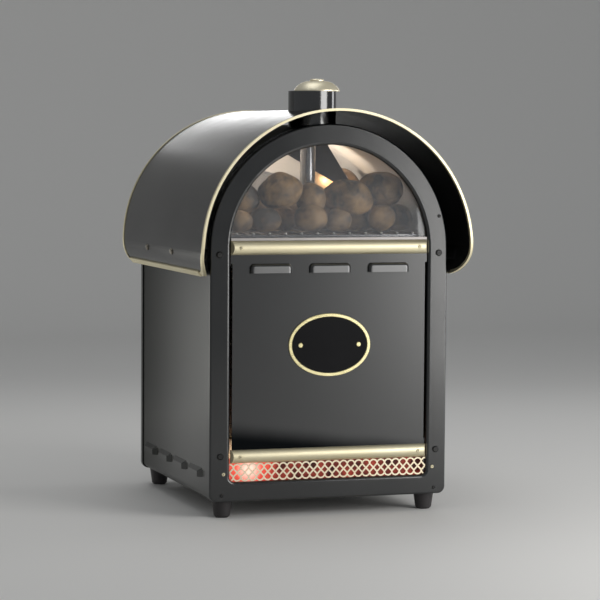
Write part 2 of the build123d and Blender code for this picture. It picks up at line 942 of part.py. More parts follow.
def lamp_bulbs():
    """Small round-ended bulbs that plug into the holders."""
    neck = lamp_holder_length / 2 - fit_gap
    shoulder = neck + lamp_bulb_radius - lamp_neck_radius
    end = lamp_bulb_length - lamp_bulb_radius + neck
    tip = end + lamp_bulb_radius
    bow = lamp_bulb_radius * sin(radians(45))
    outline = Polyline(
        (0, tip),
        (0, 0),
        (lamp_neck_radius, 0),
        (lamp_neck_radius, neck),
        (lamp_bulb_radius, shoulder),
        (lamp_bulb_radius, end),
    )
    dome = ThreePointArc((lamp_bulb_radius, end), (bow, end + bow), (0, tip))
    bulb = revolve(make_face(Plane.XZ * (outline + dome)), Axis.Z)
    bulbs = []
    for start, direction in lamp_places():
        seat = tuple(p + d * (lamp_holder_length / 2 + fit_gap) for p, d in zip(start, direction))
        bulbs.append(Plane(origin=seat, z_dir=direction) * bulb)
    return bulbs


# ---- Display compartment ---------------------------------------------------------------------


def window_glass():
    half = opening_half + glass_cover
    low = z_upper_strip - upper_strip_height / 3
    return front_view(arch_shape(half, low, glass_corner), y_glass, glass_wall)


def glass_ledge():
    """Bright angle along the foot of the glass, standing on the upper strip's panel."""
    low = upper_strip_high + fit_gap
    high = low + ledge_height
    side = half_at(opening_half, high) - 2 * fit_gap
    return block(-side, side, y_panel - ledge_lip, y_glass - fit_gap, low, high)


ledge_lip = 1.0


def display_deck():
    side = half_at(skin_inner, z_deck) - fit_gap
    deck = block(-side, side, y_deck_front, y_deck_back, z_deck - deck_flange, z_deck)
    wall = panel_sheet
    deck = deck - block(
        -side + wall, side - wall, y_deck_front - 1, y_deck_back + 1, z_deck - deck_flange - 1, z_deck - wall
    )
    return deck - rod(
        (0, y_steam, z_deck - deck_flange), (0, 0, 1), steam_tube_radius + fit_gap, 2 * deck_flange
    )


deck_flange = 14.0


def wire_rack(half, front, back, low, bar_height, wire_radius, count, pitch, bars):
    """Round wires, front to back, welded on flat cross bars."""
    bar_wall = wire_radius
    z_wire = low + bar_height + wire_radius * 0.8
    rack = None
    for n in range(bars):
        y = front + bar_wall * 3 + n * (back - front - bar_wall * 7) / (bars - 1)
        bar = block(-half, half, y, y + bar_wall, low, low + bar_height)
        rack = bar if rack is None else rack + bar
    wires = [
        rod((pitch * (n - (count - 1) / 2), front, z_wire), (0, 1, 0), wire_radius, back - front)
        for n in range(count)
    ]
    return rack + wires


def display_rack():
    half = rack_wire_pitch * rack_wire_count / 2
    front = y_face + rack_setback
    back = y_deck_back - rack_setback
    rack = wire_rack(
        half,
        front,
        back,
        z_deck,
        rack_bar_height,
        rack_wire_radius,
        rack_wire_count,
        rack_wire_pitch,
        3,
    )
    return rack - rod((0, y_steam, z_deck - 1), (0, 0, 1), steam_tube_radius + 1, 3 * rack_bar_height)


def display_liner():
    """Bright vault inside the roof, standing on the deck."""
    low = z_deck + fit_gap
    vault = ring_sector((0, z_spring), liner_radius - liner_sheet, liner_radius, 0, 180)
    vault = vault & rectangle(-liner_radius, low, liner_radius, low + 2 * liner_radius)
    front = y_deck_front
    liner = front_view(vault, front, y_deck_back - front)
    return liner - rod((0, y_steam, z_spring), (0, 0, 1), steam_tube_radius + fit_gap, 2 * liner_radius)


def lamp_shield():
    """Tapered plate hung from the vault; it hides the display lamp from the front."""
    crown = liner_radius - liner_sheet - fit_gap
    top = z_spring + sqrt(crown**2 - shield_top_half**2)
    tip = z_shield_tip
    shape = make_face(
        Polyline(
            (-shield_top_half, top),
            (shield_top_half, top),
            (shield_top_half + 2.0, top - shield_collar),
            (shield_tip_x + lamp_holder_radius, tip),
            (shield_tip_x - lamp_holder_radius, tip - lamp_holder_radius),
            (-shield_top_half, top),
        )
    )
    plate = front_view(shape, y_shield, panel_sheet)
    flange = block(-shield_top_half, shield_top_half, y_shield, y_shield + shield_flange, top - panel_sheet, top)
    return plate + flange


shield_top_half = 57.0
shield_collar = 10.0
shield_tip_x = 86.0
shield_tip_above = 108.0
shield_flange = 12.0
shield_setback = 190.0
y_shield = y_face + shield_setback
z_shield_tip = z_spring + shield_tip_above


# ---- Oven ---------------------------------------------------------------------------------------


def cavity_box(grow, front, back):
    return block(
        -cavity_half - grow,
        cavity_half + grow,
        front,
        back,
        z_cavity_low - grow,
        z_cavity_high + grow,
    )


def oven_liner():
    """Stainless box, open to the operator's side."""
    shell = cavity_box(cavity_sheet, y_cavity - cavity_sheet, y_cavity_back)
    shell = shell - cavity_box(0, y_cavity, y_cavity_back + 1)
    shell = shell - rod((0, y_cavity + 1, z_fan), (0, -1, 0), shaft_radius * 2, 2 * cavity_sheet + 2)
    for x, z in element_ends():
        shell = shell - rod((x, y_cavity + 1, z), (0, -1, 0), element_radius + fit_gap, 2 * cavity_sheet + 2)
    return shell


def shelf_levels():
    step = (z_cavity_high - z_cavity_low) / (shelf_count + 1)
    return [z_cavity_low + step * (n + 1) for n in range(shelf_count)]


def wire_shelves():
    half = cavity_half - shelf_side_gap
    front = y_cavity + guard_depth + shelf_bar_height
    back = y_cavity_back - door_plug_depth
    pitch = 2 * half / shelf_wire_count
    return [
        wire_rack(
            half, front, back, level, shelf_bar_height, shelf_wire_radius, shelf_wire_count, pitch, 3
        )
        for level in shelf_levels()
    ]


def shelf_runners():
    """Angles on the cavity's sides that the wire shelves rest on."""
    runners = []
    front = y_cavity + guard_depth + shelf_bar_height
    back = y_cavity_back - door_plug_depth
    for level in shelf_levels():
        top = level - fit_gap
        shelf = block(
            cavity_half - fit_gap - runner_width, cavity_half - fit_gap, front, back, top - cavity_sheet, top
        )
        web = block(
            cavity_half - fit_gap - cavity_sheet, cavity_half - fit_gap, front, back, top - runner_width, top
        )
        runners = runners + both_sides(shelf + web)
    return runners


def insulation():
    """Mineral-wool slabs beside, above and below the cavity; the lower one carries it."""
    inner = cavity_half + cavity_sheet + fit_gap
    front = y_cavity
    back = y_cavity_back - insulation_room
    low = z_base + frame_sheet
    high = z_cavity_high + cavity_sheet
    under = block(-cavity_half, cavity_half, front, y_back - control_room, low, z_cavity_low - cavity_sheet)
    outer = roll_centre_x - frame_sheet - insulation_side_gap
    sides = both_sides(block(inner, outer, front, back, low, high))
    top_low = high + fit_gap
    top = block(-inner, inner, front + insulation_room, back, top_low, top_low + insulation_top)
    tube = rod((0, y_steam, top_low - 1), (0, 0, 1), steam_tube_radius + 2, insulation_top + 2)
    return sides + [top - tube, under]


insulation_room = 12.0
control_room = 40.0


def element_ends():
    z = z_fan - element_half
    return [(-element_gap, z), (element_gap, z)]


element_gap = 24.0


def heating_element():
    """Tubular element bent round the fan, its ends through the cavity's front wall."""
    y = y_cavity + guard_depth / 2
    start = y_cavity - cavity_sheet - 2 * element_radius
    low, high = z_fan - element_half, z_fan + element_half
    side = element_half
    ends = element_ends()
    path = FilletPolyline(
        (ends[0][0], start, low),
        (ends[0][0], y, low),
        (-side, y, low),
        (-side, y, high),
        (side, y, high),
        (side, y, low),
        (ends[1][0], y, low),
        (ends[1][0], start, low),
        radius=[element_bend / 2, element_bend, element_bend, element_bend, element_bend, element_bend / 2],
    )
    section = Plane(origin=path @ 0, z_dir=path % 0) * Circle(element_radius)
    return sweep(section, path=path)


def fan_guard():
    """Pressed cover over fan and element, with a central intake and open sides."""
    front = y_cavity + fit_gap
    back = y_cavity + guard_depth
    half = guard_half
    wall = cavity_sheet
    cover = block(-half, half, front, back, z_fan - half, z_fan + half)
    cover = cover - block(
        -half + wall, half - wall, front - 1, back - wall, z_fan - half + wall, z_fan + half - wall
    )
    window = half - guard_corner
    cover = cover - block(-half - 1, half + 1, front - 1, back - guard_rim, z_fan - window, z_fan + window)
    cover = cover - block(-window, window, front - 1, back - guard_rim, z_fan - half - 1, z_fan + half + 1)
    intake = rod((0, back - 2 * wall, z_fan), (0, 1, 0), guard_intake_radius, 3 * wall)
    bars = block(-half, half, back - wall, back, z_fan - guard_bar, z_fan + guard_bar)
    bars = bars + block(-guard_bar, guard_bar, back - wall, back, z_fan - half, z_fan + half)
    return cover - intake + bars


guard_corner = 20.0
guard_rim = 8.0
guard_bar = 3.0


def fan_motor():
    back = y_cavity - cavity_sheet - fit_gap
    body = rod((0, back, z_fan), (0, -1, 0), motor_radius, motor_length)
    bore = rod((0, back + 1, z_fan), (0, -1, 0), shaft_radius + hinge_running_gap, motor_length / 2 + 1)
    foot = block(
        -motor_radius - motor_foot,
        motor_radius + motor_foot,
        back - frame_sheet,
        back,
        z_fan - motor_foot,
        z_fan + motor_foot,
    )
    return body + foot - bore


motor_foot = 12.0


def fan_impeller():
    """Disc with radial blades on a shaft that runs in the motor."""
    y = y_cavity + fan_clearance
    disc = rod((0, y, z_fan), (0, 1, 0), fan_radius, 1.0)
    hub = rod((0, y, z_fan), (0, 1, 0), 2 * shaft_radius, fan_depth)
    shaft_end = y_cavity - motor_length / 2 + 2.0
    shaft = rod((0, y, z_fan), (0, -1, 0), shaft_radius, y - shaft_end)
    wheel = disc + hub + shaft
    inner = fan_radius / 2
    for n in range(fan_blades):
        blade = Box(fan_radius - inner, fan_depth, 1.0, align=(Align.MIN, Align.MIN, Align.CENTER))
        turned = Rot(0, 360 * n / fan_blades, 0) * Pos(inner - 1, 0, 0) * blade
        wheel = wheel + Pos(0, y, z_fan) * turned
    return wheel


fan_clearance = 6.0


# ---- Operator's side: door, display flap and controls ---------------------------------------------


def door_outline(grow):
    left, right = -door_half - grow, door_half + grow
    shape = rectangle(left, z_door_low - door_overlap - grow, right, z_door_high + door_overlap + grow)
    return fillet(shape.vertices(), opening_corner + grow)


def plug_outline(grow):
    side = rear_opening_half - door_plug_inset + grow
    low = z_door_low + door_plug_inset - grow
    high = z_door_high - door_plug_inset + grow
    return rectangle(-side, low, side, high)


def door_skin():
    """Outer pan of the oven door, its edges folded in."""
    pan = front_view(door_outline(0), y_door, door_skin_depth)
    edge = pan.faces().sort_by(Axis.Y)[-1].edges()
    pan = chamfer(edge, door_skin_sheet / 2)
    inside = door_skin_depth - door_skin_sheet
    return pan - front_view(door_outline(-door_skin_sheet), y_door - 1, inside + 1)


def door_inner():
    """Inner pan that plugs the doorway, with a flange against the skin."""
    back = y_door_skin - door_skin_sheet
    plug = front_view(plug_outline(0), y_back - door_plug_depth, back - y_back + door_plug_depth)
    flange_outline = door_outline(-door_skin_sheet - fit_gap)
    flange = front_view(flange_outline, y_door + fit_gap, cavity_sheet)
    hollow_front = y_back - door_plug_depth + cavity_sheet
    hollow = front_view(plug_outline(-cavity_sheet), hollow_front, back - hollow_front - cavity_sheet)
    return plug + flange - hollow


def door_seal():
    """Silicone ring on the inner pan that meets the frame's face."""
    room = door_plug_inset - seal_room
    ring = plug_outline(room + seal_width) - plug_outline(room)
    return front_view(ring, y_back + seal_room / 4, door_gap + fit_gap - seal_room / 4)


seal_room = 1.0


def door_handle():
    """Round bar on two posts at the door's free side."""
    x = -door_half + handle_inset
    top = y_back + handle_reach - handle_radius
    middle = (z_door_low + z_door_high) / 2
    low = middle - handle_length / 2
    bar = rod((x, top, low), (0, 0, 1), handle_radius, handle_length)
    for z in (low + handle_inset, low + handle_length - handle_inset):
        bar = bar + rod((x, y_door_skin, z), (0, 1, 0), handle_radius * 0.7, top - y_door_skin)
    return bar


handle_inset = 20.0


def hinge_levels():
    middle = (z_door_low + z_door_high) / 2
    return [middle - hinge_spacing / 2, middle + hinge_spacing / 2]


def hinge_barrel(z_low, length, radius):
    return rod((hinge_x, hinge_y, z_low), (0, 0, 1), radius, length)


def door_hinge_leaves():
    """Fixed leaves on the rear frame, each with two knuckles and the pin."""
    leaves = []
    for level in hinge_levels():
        low = level - 1.5 * hinge_knuckle
        plate = block(
            hinge_x,
            hinge_x + hinge_leaf_width,
            y_back,
            y_back + hinge_leaf_wall,
            low,
            low + 3 * hinge_knuckle,
        )
        leaf = plate
        for z in (low, low + 2 * hinge_knuckle):
            leaf = leaf + hinge_barrel(z, hinge_knuckle, hinge_radius)
            leaf = leaf + block(
                hinge_x, hinge_x + hinge_radius, y_back, hinge_y, z, z + hinge_knuckle
            )
        middle = block(
            hinge_x - hinge_radius - 1,
            hinge_x + hinge_radius + fit_gap,
            y_back - 1,
            hinge_y + hinge_radius,
            low + hinge_knuckle,
            low + 2 * hinge_knuckle,
        )
        leaf = leaf - middle
        leaves.append(leaf + hinge_barrel(low, 3 * hinge_knuckle, hinge_pin_radius))
    return leaves


hinge_leaf_width = 18.0
hinge_leaf_wall = 2.0


def door_hinge_knuckles():
    """Moving knuckles with straps across the door's skin."""
    knuckles = []
    for level in hinge_levels():
        low = level - hinge_knuckle / 2 + fit_gap
        height = hinge_knuckle - 2 * fit_gap
        knuckle = hinge_barrel(low, height, hinge_radius)
        strap = block(
            door_half - hinge_leaf_width,
            hinge_x,
            y_door_skin,
            y_door_skin + hinge_leaf_wall,
            low,
            low + height,
        )
        knuckle = knuckle + strap
        bore = hinge_barrel(low - 1, height + 2, hinge_pin_radius + hinge_running_gap)
        knuckles.append(knuckle - bore)
    return knuckles


def flap_outline(grow):
    radius = rear_window_radius + flap_overlap + grow
    return lunette(radius, z_flap_low - grow, max(opening_corner + grow, flap_gap))


def flap_frame():
    """Pressed rim of the display flap, with ears down to its hinge pins."""
    front = y_back + flap_gap
    rim = front_view(flap_outline(0), front, flap_depth)
    edge = rim.faces().sort_by(Axis.Y)[-1].edges()
    rim = chamfer(edge, flap_gap)
    rim = rim - front_view(flap_outline(-flap_band), front - 1, flap_depth + 2)
    rebate = flap_outline(-flap_band / 3)
    rim = rim - front_view(rebate, front - 1, flap_glass_wall + 1 + fit_gap)
    for side in (-flap_hinge_side, flap_hinge_side):
        ear = rod((side - flap_ear / 2, y_flap_hinge, z_flap_hinge), (1, 0, 0), hinge_radius, flap_ear)
        arm = block(
            side - flap_ear / 2,
            side + flap_ear / 2,
            front + flap_depth - flap_gap - frame_sheet,
            y_flap_hinge,
            z_flap_hinge,
            z_flap_low + flap_ear,
        )
        arm = arm & block(
            side - flap_ear,
            side + flap_ear,
            front,
            y_flap_hinge,
            z_flap_hinge,
            z_flap_low + flap_ear,
        )
        rim = rim + ear + arm
        rim = rim - rod(
            (side - flap_ear, y_flap_hinge, z_flap_hinge),
            (1, 0, 0),
            hinge_pin_radius + hinge_running_gap,
            2 * flap_ear,
        )
    return rim


flap_ear = 10.0


def flap_glass():
    front = y_back + flap_gap
    return front_view(flap_outline(-flap_band / 3 - fit_gap), front, flap_glass_wall)


def flap_knob():
    """Turned knob near the flap's crown."""
    z = z_spring + rear_window_radius + flap_overlap - flap_band / 2
    y = y_back + flap_gap + flap_depth
    stem = rod((0, y, z), (0, 1, 0), 3.5, 8.0)
    head = rod((0, y + 6.0, z), (0, 1, 0), 7.5, 7.0)
    head = chamfer(head.edges().sort_by(Axis.Y)[-1], 1.5)
    return stem + head


def flap_brackets():
    """Lugs on the rear frame, each side of each flap ear, with the pins."""
    brackets = []
    for side in (-flap_hinge_side, flap_hinge_side):
        inner = side - flap_ear / 2 - fit_gap
        outer = side + flap_ear / 2 + fit_gap
        base = block(
            inner - bracket_wall,
            outer + bracket_wall,
            y_back,
            y_back + frame_sheet,
            z_flap_hinge - bracket_drop,
            z_flap_hinge - hinge_radius,
        )
        lug = base
        for x in (inner - bracket_wall, outer):
            lug = lug + block(
                x,
                x + bracket_wall,
                y_back,
                y_flap_hinge,
                z_flap_hinge - bracket_drop,
                z_flap_hinge,
            )
            lug = lug + rod((x, y_flap_hinge, z_flap_hinge), (1, 0, 0), hinge_radius, bracket_wall)
        pin_start = (inner - bracket_wall, y_flap_hinge, z_flap_hinge)
        pin_length = outer - inner + 2 * bracket_wall
        brackets.append(lug + rod(pin_start, (1, 0, 0), hinge_pin_radius, pin_length))
    return brackets


bracket_wall = 2.0
bracket_drop = 12.0


def switch_cutout(side, y, depth):
    half_w = switch_width / 2
    half_h = switch_height / 2
    return block(side - half_w, side + half_w, y - 1, y + depth + 1, z_control - half_h, z_control + half_h)


indicator_radius = 6.0
gland_thread = 7.0


def control_plate():
    """Brushed plate on the rear frame's lower rail, pierced for the controls."""
    half_h = control_plate_height / 2
    left = thermostat_side - knob_radius - 8.0
    right = gland_side + knob_radius
    plate = front_view(
        fillet(rectangle(left, z_control - half_h, right, z_control + half_h).vertices(), 4.0),
        y_back,
        control_plate_wall,
    )
    seats = [(x, y_control, z_control) for x in (thermostat_side, timer_side)]
    plate = drill(plate, seats, (0, 1, 0), shaft_radius + screw_hole_gap, control_plate_wall)
    for side in (power_switch_side, light_switch_side):
        plate = plate - switch_cutout(side, y_back, control_plate_wall)
    plate = drill(plate, [(indicator_side, y_control, z_control)], (0, 1, 0), indicator_radius, 3.0)
    return drill(plate, [(gland_side, y_control, z_control)], (0, 1, 0), gland_thread, 3.0)


def control_knob(side):
    """Tapered knob with a pointer rib, on its spindle."""
    y = y_control + knob_gap
    skirt = rod((side, y, z_control), (0, 1, 0), knob_radius, knob_skirt)
    grip = rod((side, y, z_control), (0, 1, 0), knob_radius * 0.72, knob_depth)
    grip = chamfer(grip.edges().sort_by(Axis.Y)[-1], 1.2)
    rib = block(
        side - 2.0, side + 2.0, y, y + knob_depth + 1.5, z_control, z_control + knob_radius * 0.9
    )
    spindle = rod((side, y, z_control), (0, -1, 0), shaft_radius, spindle_length)
    return skirt + grip + rib + spindle


knob_gap = 0.8
knob_skirt = 4.0
spindle_length = 16.0


def thermostat_knob():
    return control_knob(thermostat_side)


def timer_knob():
    return control_knob(timer_side)


def rocker(side):
    """Rocker cap, tilted to its off position."""
    half_h = switch_height / 2 - switch_wall - rocker_gap
    half_w = switch_width / 2 - switch_wall - rocker_gap
    crown = rocker_proud
    profile = Polyline(
        (-rocker_depth, -half_h + rocker_gap),
        (0, -half_h),
        (crown, 0),
        (0, half_h),
        (-rocker_depth, half_h - rocker_gap),
        (-rocker_depth, -half_h + rocker_gap),
    )
    cap = side_view(make_face(profile), -half_w, 2 * half_w)
    reach = half_w + rocker_gap + trunnion_radius
    cap = cap + rod((-reach, 0, 0), (1, 0, 0), trunnion_radius, 2 * reach)
    return Pos(side, rocker_axis_y(), z_control) * Rot(rocker_tilt, 0, 0) * cap


switch_wall = 2.0
rocker_gap = 0.9
rocker_depth = 3.0
rocker_proud = 4.0
trunnion_radius = 1.2
rocker_axis_depth = 0.6


def rocker_axis_y():
    return y_control - rocker_axis_depth


def power_rocker():
    return rocker(power_switch_side)


def light_rocker():
    return rocker(light_switch_side)


def control_bodies():
    """Thermostat, timer and switch housings behind the control plate."""
    inside = y_back - frame_sheet - fit_gap
    bodies = []
    for side in (thermostat_side, timer_side):
        case = block(
            side - case_half_width,
            side + case_half_width,
            inside - case_depth,
            inside,
            z_control - case_half_height,
            z_control + case_half_height,
        )
        bore_start = (side, inside + 1, z_control)
        bodies.append(case - rod(bore_start, (0, -1, 0), shaft_radius + hinge_running_gap, spindle_length))
    half_w, half_h = switch_width / 2 - fit_gap, switch_height / 2 - fit_gap
    for side in (power_switch_side, light_switch_side):
        rear = inside - switch_body_depth
        body = block(side - half_w, side + half_w, rear, y_control, z_control - half_h, z_control + half_h)
        rim_w, rim_h = half_w + switch_wall, half_h + switch_wall
        front = y_control + switch_wall
        bezel = block(side - rim_w, side + rim_w, y_control, front, z_control - rim_h, z_control + rim_h)
        well = block(
            side - half_w + switch_wall - fit_gap,
            side + half_w - switch_wall + fit_gap,
            rocker_axis_y() - rocker_depth - 2 * trunnion_radius,
            y_control + switch_wall + 1,
            z_control - half_h + switch_wall - fit_gap,
            z_control + half_h - switch_wall + fit_gap,
        )
        pivot = rod(
            (side - half_w - 1, rocker_axis_y(), z_control),
            (1, 0, 0),
            trunnion_radius + hinge_running_gap,
            2 * half_w + 2,
        )
        bodies.append(body + bezel - well - pivot)
    return bodies


case_half_width = 20.0
case_half_height = 16.0
case_depth = 24.0
switch_body_depth = 16.0


def indicator_lamp():
    start = (indicator_side, y_back - 12.0, z_control)
    stem = rod(start, (0, 1, 0), indicator_radius - fit_gap, 12.0 + control_plate_wall)
    lens = rod((indicator_side, y_control, z_control), (0, 1, 0), indicator_radius + 1.5, 4.0)
    lens = chamfer(lens.edges().sort_by(Axis.Y)[-1], 2.5)
    return stem + lens


def cable_gland():
    """Nylon gland where the supply lead enters."""
    start = (gland_side, y_back - 8.0, z_control)
    thread = rod(start, (0, 1, 0), gland_thread - fit_gap, 8.0 + control_plate_wall)
    hexagon = RegularPolygon(gland_radius, 6)
    plane = Plane(origin=(gland_side, y_control, z_control), x_dir=(1, 0, 0), z_dir=(0, 1, 0))
    nut = extrude(plane * hexagon, amount=6.0)
    nose = Plane(origin=(gland_side, y_control + 6.0, z_control), z_dir=(0, 1, 0)) * Cone(
        gland_radius * 0.8, gland_radius * 0.6, 8.0, align=(Align.CENTER, Align.CENTER, Align.MIN)
    )
    return thread + nut + nose - rod((gland_side, y_back - 9.0, z_control), (0, 1, 0), 3.5, 40.0)


# ---- Every sub-part, one file each -------------------------------------------------------------------

parts = {
    "front_frame": front_frame,
    "rear_frame": rear_frame,
    "side_panel_left": side_panel_left,
    "side_panel_right": side_panel_right,
    "roof_barrel": roof_barrel,
    "base_pan": base_pan,
    "feet": feet,
    "canopy": canopy,
    "canopy_edge_trims": canopy_edge_trims,
    "canopy_edge_strips": canopy_edge_strips,
    "canopy_rails": canopy_rails,
    "canopy_screws": canopy_screws,
    "chimney": chimney,
    "chimney_cap": chimney_cap,
    "steam_tube": steam_tube,
    "front_panel": front_panel,
    "upper_strip": upper_strip,
    "lower_strip": lower_strip,
    "brass_screws": brass_screws,
    "frame_screws": frame_screws,
    "badge_plate": badge_plate,
    "badge_rim": badge_rim,
    "badge_rivets": badge_rivets,
    "grille": grille,
    "glow_tray": glow_tray,
    "glow_screen": glow_screen,
    "lamp_holders": lamp_holders,
    "lamp_bulbs": lamp_bulbs,
    "window_glass": window_glass,
    "glass_ledge": glass_ledge,
    "display_deck": display_deck,
    "display_rack": display_rack,
    "display_liner": display_liner,
    "lamp_shield": lamp_shield,
    "oven_liner": oven_liner,
    "wire_shelves": wire_shelves,
    "shelf_runners": shelf_runners,
    "insulation": insulation,
    "heating_element": heating_element,
    "fan_guard": fan_guard,
    "fan_motor": fan_motor,
    "fan_impeller": fan_impeller,
    "door_skin": door_skin,
    "door_inner": door_inner,
    "door_seal": door_seal,
    "door_handle": door_handle,
    "door_hinge_leaves": door_hinge_leaves,
    "door_hinge_knuckles": door_hinge_knuckles,
    "flap_frame": flap_frame,
    "flap_glass": flap_glass,
    "flap_knob": flap_knob,
    "flap_brackets": flap_brackets,
    "control_plate": control_plate,
    "thermostat_knob": thermostat_knob,
    "timer_knob": timer_knob,
    "power_rocker": power_rocker,
    "light_rocker": light_rocker,
    "control_bodies": control_bodies,
    "indicator_lamp": indicator_lamp,
    "cable_gland": cable_gland,
}

os.makedirs("parts", exist_ok=True)
for name, make in parts.items():
    made = make()
    if isinstance(made, list):
        made = Compound(children=made)
    export_step(made, f"parts/{name}.step")
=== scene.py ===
import math
import random

import bmesh
import bpy
from mathutils import Matrix, Vector, noise


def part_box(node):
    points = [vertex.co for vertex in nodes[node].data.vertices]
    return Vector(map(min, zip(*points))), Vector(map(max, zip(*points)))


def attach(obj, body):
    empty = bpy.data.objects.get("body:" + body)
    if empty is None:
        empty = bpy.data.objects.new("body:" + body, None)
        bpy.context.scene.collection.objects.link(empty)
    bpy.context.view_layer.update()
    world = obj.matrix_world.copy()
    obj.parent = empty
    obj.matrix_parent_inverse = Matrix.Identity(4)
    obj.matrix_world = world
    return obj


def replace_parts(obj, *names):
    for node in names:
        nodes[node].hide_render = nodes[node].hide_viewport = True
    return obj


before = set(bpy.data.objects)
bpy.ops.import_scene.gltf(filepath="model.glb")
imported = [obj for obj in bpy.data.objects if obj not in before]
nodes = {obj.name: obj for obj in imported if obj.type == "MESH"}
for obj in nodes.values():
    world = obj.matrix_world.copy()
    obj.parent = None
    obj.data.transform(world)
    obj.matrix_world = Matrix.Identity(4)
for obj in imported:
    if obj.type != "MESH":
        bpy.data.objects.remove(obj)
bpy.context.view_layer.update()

MM = 0.001

# ---- Room ---------------------------------------------------------------------------------
# A pale studio: a floor that sweeps up behind the oven, a large key lamp in front on the right,
# weaker lamps for the left side, the right rim, the top and the crest, and an even pale sky
# that the black enamel mirrors. The camera stands where the photograph was taken from.


def new_material(name):
    """An empty node material and its output."""
    material = bpy.data.materials.new(name)
    material.use_nodes = True
    material.node_tree.nodes.clear()
    return material, material.node_tree.nodes.new("ShaderNodeOutputMaterial")


def shader(material, kind="ShaderNodeBsdfPrincipled", **values):
    """A shader node; each keyword is a socket's name with underscores, and its value."""
    node = material.node_tree.nodes.new(kind)
    for key, value in values.items():
        node.inputs[key.replace("_", " ")].default_value = value
    return node


def wire(material, source, target):
    material.node_tree.links.new(source, target)


def mesh_object(name, form, material, smooth=True):
    """Turn a finished bmesh into an object with one material."""
    mesh = bpy.data.meshes.new(name)
    form.to_mesh(mesh)
    form.free()
    for face in mesh.polygons:
        face.use_smooth = smooth
    mesh.materials.append(material)
    obj = bpy.data.objects.new(name, mesh)
    bpy.context.scene.collection.objects.link(obj)
    return obj


FLOOR_HALF = 9.0
SWEEP_BACK = 3.2
SWEEP_RADIUS = 1.4
WALL_HEIGHT = 4.5
floor_colour = (0.80, 0.79, 0.77, 1.0)

floor_paint, output = new_material("floor_paint")
paper = shader(floor_paint, Base_Color=floor_colour, Roughness=0.8)
wire(floor_paint, paper.outputs[0], output.inputs[0])

form = bmesh.new()
bmesh.ops.create_grid(form, x_segments=1, y_segments=1, size=FLOOR_HALF)
bmesh.ops.translate(form, vec=(0, SWEEP_BACK - FLOOR_HALF, 0), verts=form.verts)
back_edge = [e for e in form.edges if all(v.co.y > SWEEP_BACK - 0.01 for v in e.verts)]
bmesh.ops.spin(
    form,
    geom=back_edge,
    cent=(0, SWEEP_BACK, SWEEP_RADIUS),
    axis=(1, 0, 0),
    angle=math.radians(90),
    steps=24,
)
wall_edge = [e for e in form.edges if all(v.co.z > SWEEP_RADIUS - 0.01 for v in e.verts)]
raised = bmesh.ops.extrude_edge_only(form, edges=wall_edge)["geom"]
wall_head = [part for part in raised if isinstance(part, bmesh.types.BMVert)]
bmesh.ops.translate(form, vec=(0, 0, WALL_HEIGHT), verts=wall_head)
mesh_object("studio_floor", form, floor_paint)

world = bpy.data.worlds.new("pale_room")
bpy.context.scene.world = world
world.use_nodes = True
sky = world.node_tree.nodes["Background"]
sky.inputs["Color"].default_value = (0.94, 0.97, 1.0, 1.0)
sky.inputs["Strength"].default_value = 0.28


def soft_lamp(name, place, aim, width, height, power, colour=(1.0, 1.0, 1.0)):
    """A rectangular studio lamp that faces a point, in metres and watts."""
    light = bpy.data.lights.new(name, "AREA")
    light.shape = "RECTANGLE"
    light.size = width
    light.size_y = height
    light.energy = power
    light.color = colour
    lamp = bpy.data.objects.new(name, light)
    lamp.location = place
    lamp.rotation_euler = (Vector(aim) - Vector(place)).to_track_quat("-Z", "Y").to_euler()
    bpy.context.scene.collection.objects.link(lamp)
    return lamp


KEY_COLOUR = (1.0, 0.99, 0.97)
SIDE_COLOUR = (1.0, 1.0, 0.93)
soft_lamp("key_lamp", (1.10, -1.42, 0.62), (0.0, -0.2, 0.4), 0.98, 1.15, 18.0, KEY_COLOUR)
soft_lamp("side_lamp", (-1.18, 1.0, 0.16), (-0.2, 0.0, 0.2), 1.1, 0.3, 1.9, SIDE_COLOUR)
soft_lamp("rim_lamp", (2.3, 0.35, 0.55), (0.0, 0.0, 0.35), 0.5, 1.1, 6.0)
soft_lamp("top_lamp", (-0.3, 0.2, 2.6), (0.0, 0.0, 0.6), 1.8, 1.2, 8.0)
crest_lamp = soft_lamp("crest_lamp", (0.95, 2.7, 1.05), (0.0, 0.0, 0.65), 2.2, 0.5, 1.9)
crest_lamp.data.spread = math.radians(75)  # a narrow beam, so that the floor stays even
crest_lamp.visible_camera = False
crest_lamp.visible_transmission = False

# The camera's place and angles come from the fit to the photograph.
CAMERA_PLACE = (-1.25918, -3.86790, 0.60861)
CAMERA_YAW = math.radians(18.28)
CAMERA_PITCH = math.radians(3.89)
CAMERA_ROLL = math.radians(0.38)
SENSOR = 36.0
FOCAL_LENGTH = 145.5
FAR_CLIP = 100.0

ahead = Vector(
    (
        math.sin(CAMERA_YAW) * math.cos(CAMERA_PITCH),
        math.cos(CAMERA_YAW) * math.cos(CAMERA_PITCH),
        -math.sin(CAMERA_PITCH),
    )
)
right = Vector((math.cos(CAMERA_YAW), -math.sin(CAMERA_YAW), 0.0))
up = right.cross(ahead)
turned_right = right * math.cos(CAMERA_ROLL) + up * math.sin(CAMERA_ROLL)
turned_up = up * math.cos(CAMERA_ROLL) - right * math.sin(CAMERA_ROLL)
camera_data = bpy.data.cameras.new("camera")
camera_data.sensor_width = SENSOR
camera_data.lens = FOCAL_LENGTH
camera_data.clip_end = FAR_CLIP
camera = bpy.data.objects.new("camera", camera_data)
camera.matrix_world = (
    Matrix.Translation(CAMERA_PLACE)
    @ Matrix((turned_right, turned_up, -ahead)).transposed().to_4x4()
)
bpy.context.scene.collection.objects.link(camera)
bpy.context.scene.camera = camera
bpy.context.scene.view_settings.view_transform = "Standard"


# ---- Enamelled sheet steel -------------------------------------------------------------------
# The body is folded steel sheet with a satin black stoved enamel: a faint orange peel, a
# slightly uneven gloss, and a little pale dust and handling haze.


